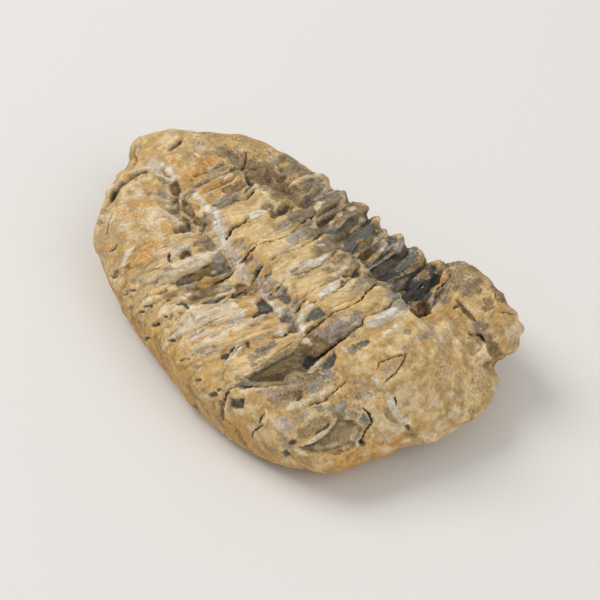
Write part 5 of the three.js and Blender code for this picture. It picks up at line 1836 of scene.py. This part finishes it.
    def shade_hollows_and_pale_crests(self, colour: Socket) -> Socket:
        """Paints shade into the hollows and brightens the worn crests.

        Args:
            colour: The colour without them.

        Returns:
            The colour with them.
        """
        bench, look = self.bench, self.look
        proud = bench.stored("proud")
        # Painted shade: the hollows and broad dips are darkened as if shade fell in them.
        hollow_shade = bench.plus(bench.minus(0.42, proud), bench.times(bench.stored("deep"), 0.2))
        colour = bench.tint(bench.times(bench.rise(hollow_shade, 0.02, 0.5), 0.62), colour, look.shade)
        return bench.tint(bench.times(bench.rise(proud, 0.58, 0.8), 0.4), colour, look.bright)

    def paint_crack_and_flake_shade(self, colour: Socket) -> Socket:
        """Draws the painted shadow line in each crack, and the painted shade at the foot of each flake.

        Args:
            colour: The colour without them.

        Returns:
            The colour with them.
        """
        bench, look = self.bench, self.look
        wobble = bench.times(bench.minus(self.fine, 0.5), 3.0)
        width = bench.plus(bench.math("ABSOLUTE", bench.stored("crack_side")), wobble)
        # Painted shadow: a thin dark line down the middle of each crack.
        gap = bench.times(bench.fall(width, 0.5, 1.3), bench.stored("crack_near"))
        colour = bench.mix(gap, colour, look.crack)
        part = bench.math("FRACT", self.layers)
        foot = bench.minus(bench.rise(part, 0.66, 0.84), bench.rise(part, 0.90, 1.0))
        return bench.tint(bench.times(foot, 0.28), colour, look.shade)

    def raise_grain(self) -> Socket:
        """Raises the finest grain as bump.

        Returns:
            The bumped normal.
        """
        bench, look = self.bench, self.look
        large, small = self.facets
        height = bench.times(large["Height"], 0.12 * look.facet)
        relief = (
            (small["Height"], 0.06 * look.facet),
            (large["Joint"], -0.03),
            (self.fine, 0.2),
            (self.fibre, 0.13),
            (self.middle, 0.2),
        )
        for value, share in relief:
            height = bench.plus(height, bench.times(value, share))
        fed = {"Strength": look.bump, "Distance": MM, "Height": height}
        return bench.add("ShaderNodeBump", fed).outputs["Normal"]


# ---------------------------------------------------------------------------------- the studio


@dataclass(frozen=True)
class Studio:
    """The plain pale floor, the soft lights and the camera.

    Attributes:
        azimuth: The camera's place round the stone, degrees.
        elevation: Its height over the floor, degrees.
        lens: Its focal length, millimetres.
        distance: From the camera to what it looks at, metres.
        aim: From the middle of the solid's box to what the camera looks at, metres.
        floor_size: Side of the floor, metres.
        floor_colour: Linear colour of the floor.
        sky_colour: Linear colour of the light from all round.
        sky: Its strength.
    """

    azimuth: float = 55.0
    elevation: float = 42.0
    lens: float = 120.0
    distance: float = 0.3704
    aim: tuple[float, float, float] = (0.0125, -0.00355, 0.00253)
    floor_size: float = 6.0
    floor_colour: tuple[float, float, float] = (0.73, 0.70, 0.655)
    sky_colour: tuple[float, float, float] = (0.93, 0.96, 1.0)
    sky: float = 0.58

    def build(self) -> None:
        """Makes the floor, the lights and the camera."""
        self.lay_floor()
        self.hang_lights()
        self.set_camera()

    def lay_floor(self) -> None:
        """Lays the floor just under the stone."""
        plane = bmesh.new()
        bmesh.ops.create_grid(plane, x_segments=1, y_segments=1, size=self.floor_size / 2)
        mesh = bpy.data.meshes.new("floor")
        plane.to_mesh(mesh)
        plane.free()
        floor = bpy.data.objects.new("floor", mesh)
        bpy.context.scene.collection.objects.link(floor)
        material = bpy.data.materials.new("pale floor")
        material.use_nodes = True
        shader = material.node_tree.nodes["Principled BSDF"]
        shader.inputs["Base Color"].default_value = (*self.floor_colour, 1.0)
        shader.inputs["Roughness"].default_value = 0.8
        shader.inputs["Specular IOR Level"].default_value = 0.2
        mesh.materials.append(material)

    def hang_lights(self) -> None:
        """Hangs one large soft light behind and to the left, a small fill, and sets the sky."""
        turn = math.radians(self.azimuth)
        right = Vector((math.cos(turn), math.sin(turn), 0.0))
        away = Vector((-math.sin(turn), math.cos(turn), 0.0))
        up = Vector((0.0, 0.0, 1.0))
        lamps = (
            ("key", -0.65 * right + 0.35 * away + 0.95 * up, 0.8, 8.2),
            ("fill", 0.65 * right - 0.65 * away + 0.8 * up, 0.9, 3.8),
        )
        for name, place, size, energy in lamps:
            light = bpy.data.lights.new(name, "AREA")
            light.shape = "DISK"
            light.size = size
            light.energy = energy
            lamp = bpy.data.objects.new(name, light)
            lamp.location = place
            lamp.rotation_euler = (-place).to_track_quat("-Z", "Y").to_euler()
            bpy.context.scene.collection.objects.link(lamp)
        world = bpy.data.worlds.new("soft sky")
        world.use_nodes = True
        background = world.node_tree.nodes["Background"]
        background.inputs["Color"].default_value = (*self.sky_colour, 1.0)
        background.inputs["Strength"].default_value = self.sky
        bpy.context.scene.world = world
        bpy.context.scene.view_settings.view_transform = "Standard"

    def set_camera(self) -> None:
        """Places the camera."""
        low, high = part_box(NODE)
        target = (low + high) / 2 + Vector(self.aim)
        turn, rise = math.radians(self.azimuth), math.radians(self.elevation)
        back = Vector((math.sin(turn) * math.cos(rise), -math.cos(turn) * math.cos(rise), math.sin(rise)))
        lens = bpy.data.cameras.new("camera")
        lens.lens = self.lens
        lens.clip_start = 0.01
        camera = bpy.data.objects.new("camera", lens)
        camera.location = target + self.distance * back
        camera.rotation_euler = back.to_track_quat("Z", "Y").to_euler()
        bpy.context.scene.collection.objects.link(camera)
        bpy.context.scene.camera = camera


def main() -> None:
    """Builds the studio and the stone, and says which solid the stone stands for."""
    logging.basicConfig(level=logging.INFO, format="%(name)s: %(message)s")
    Studio().build()
    stone = FossilTrilobite().build()
    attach(stone, BODY)
    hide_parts(NODE)
    log.info("%s: %d faces", stone.name, len(stone.data.polygons))


if __name__ == "__main__":
    main()
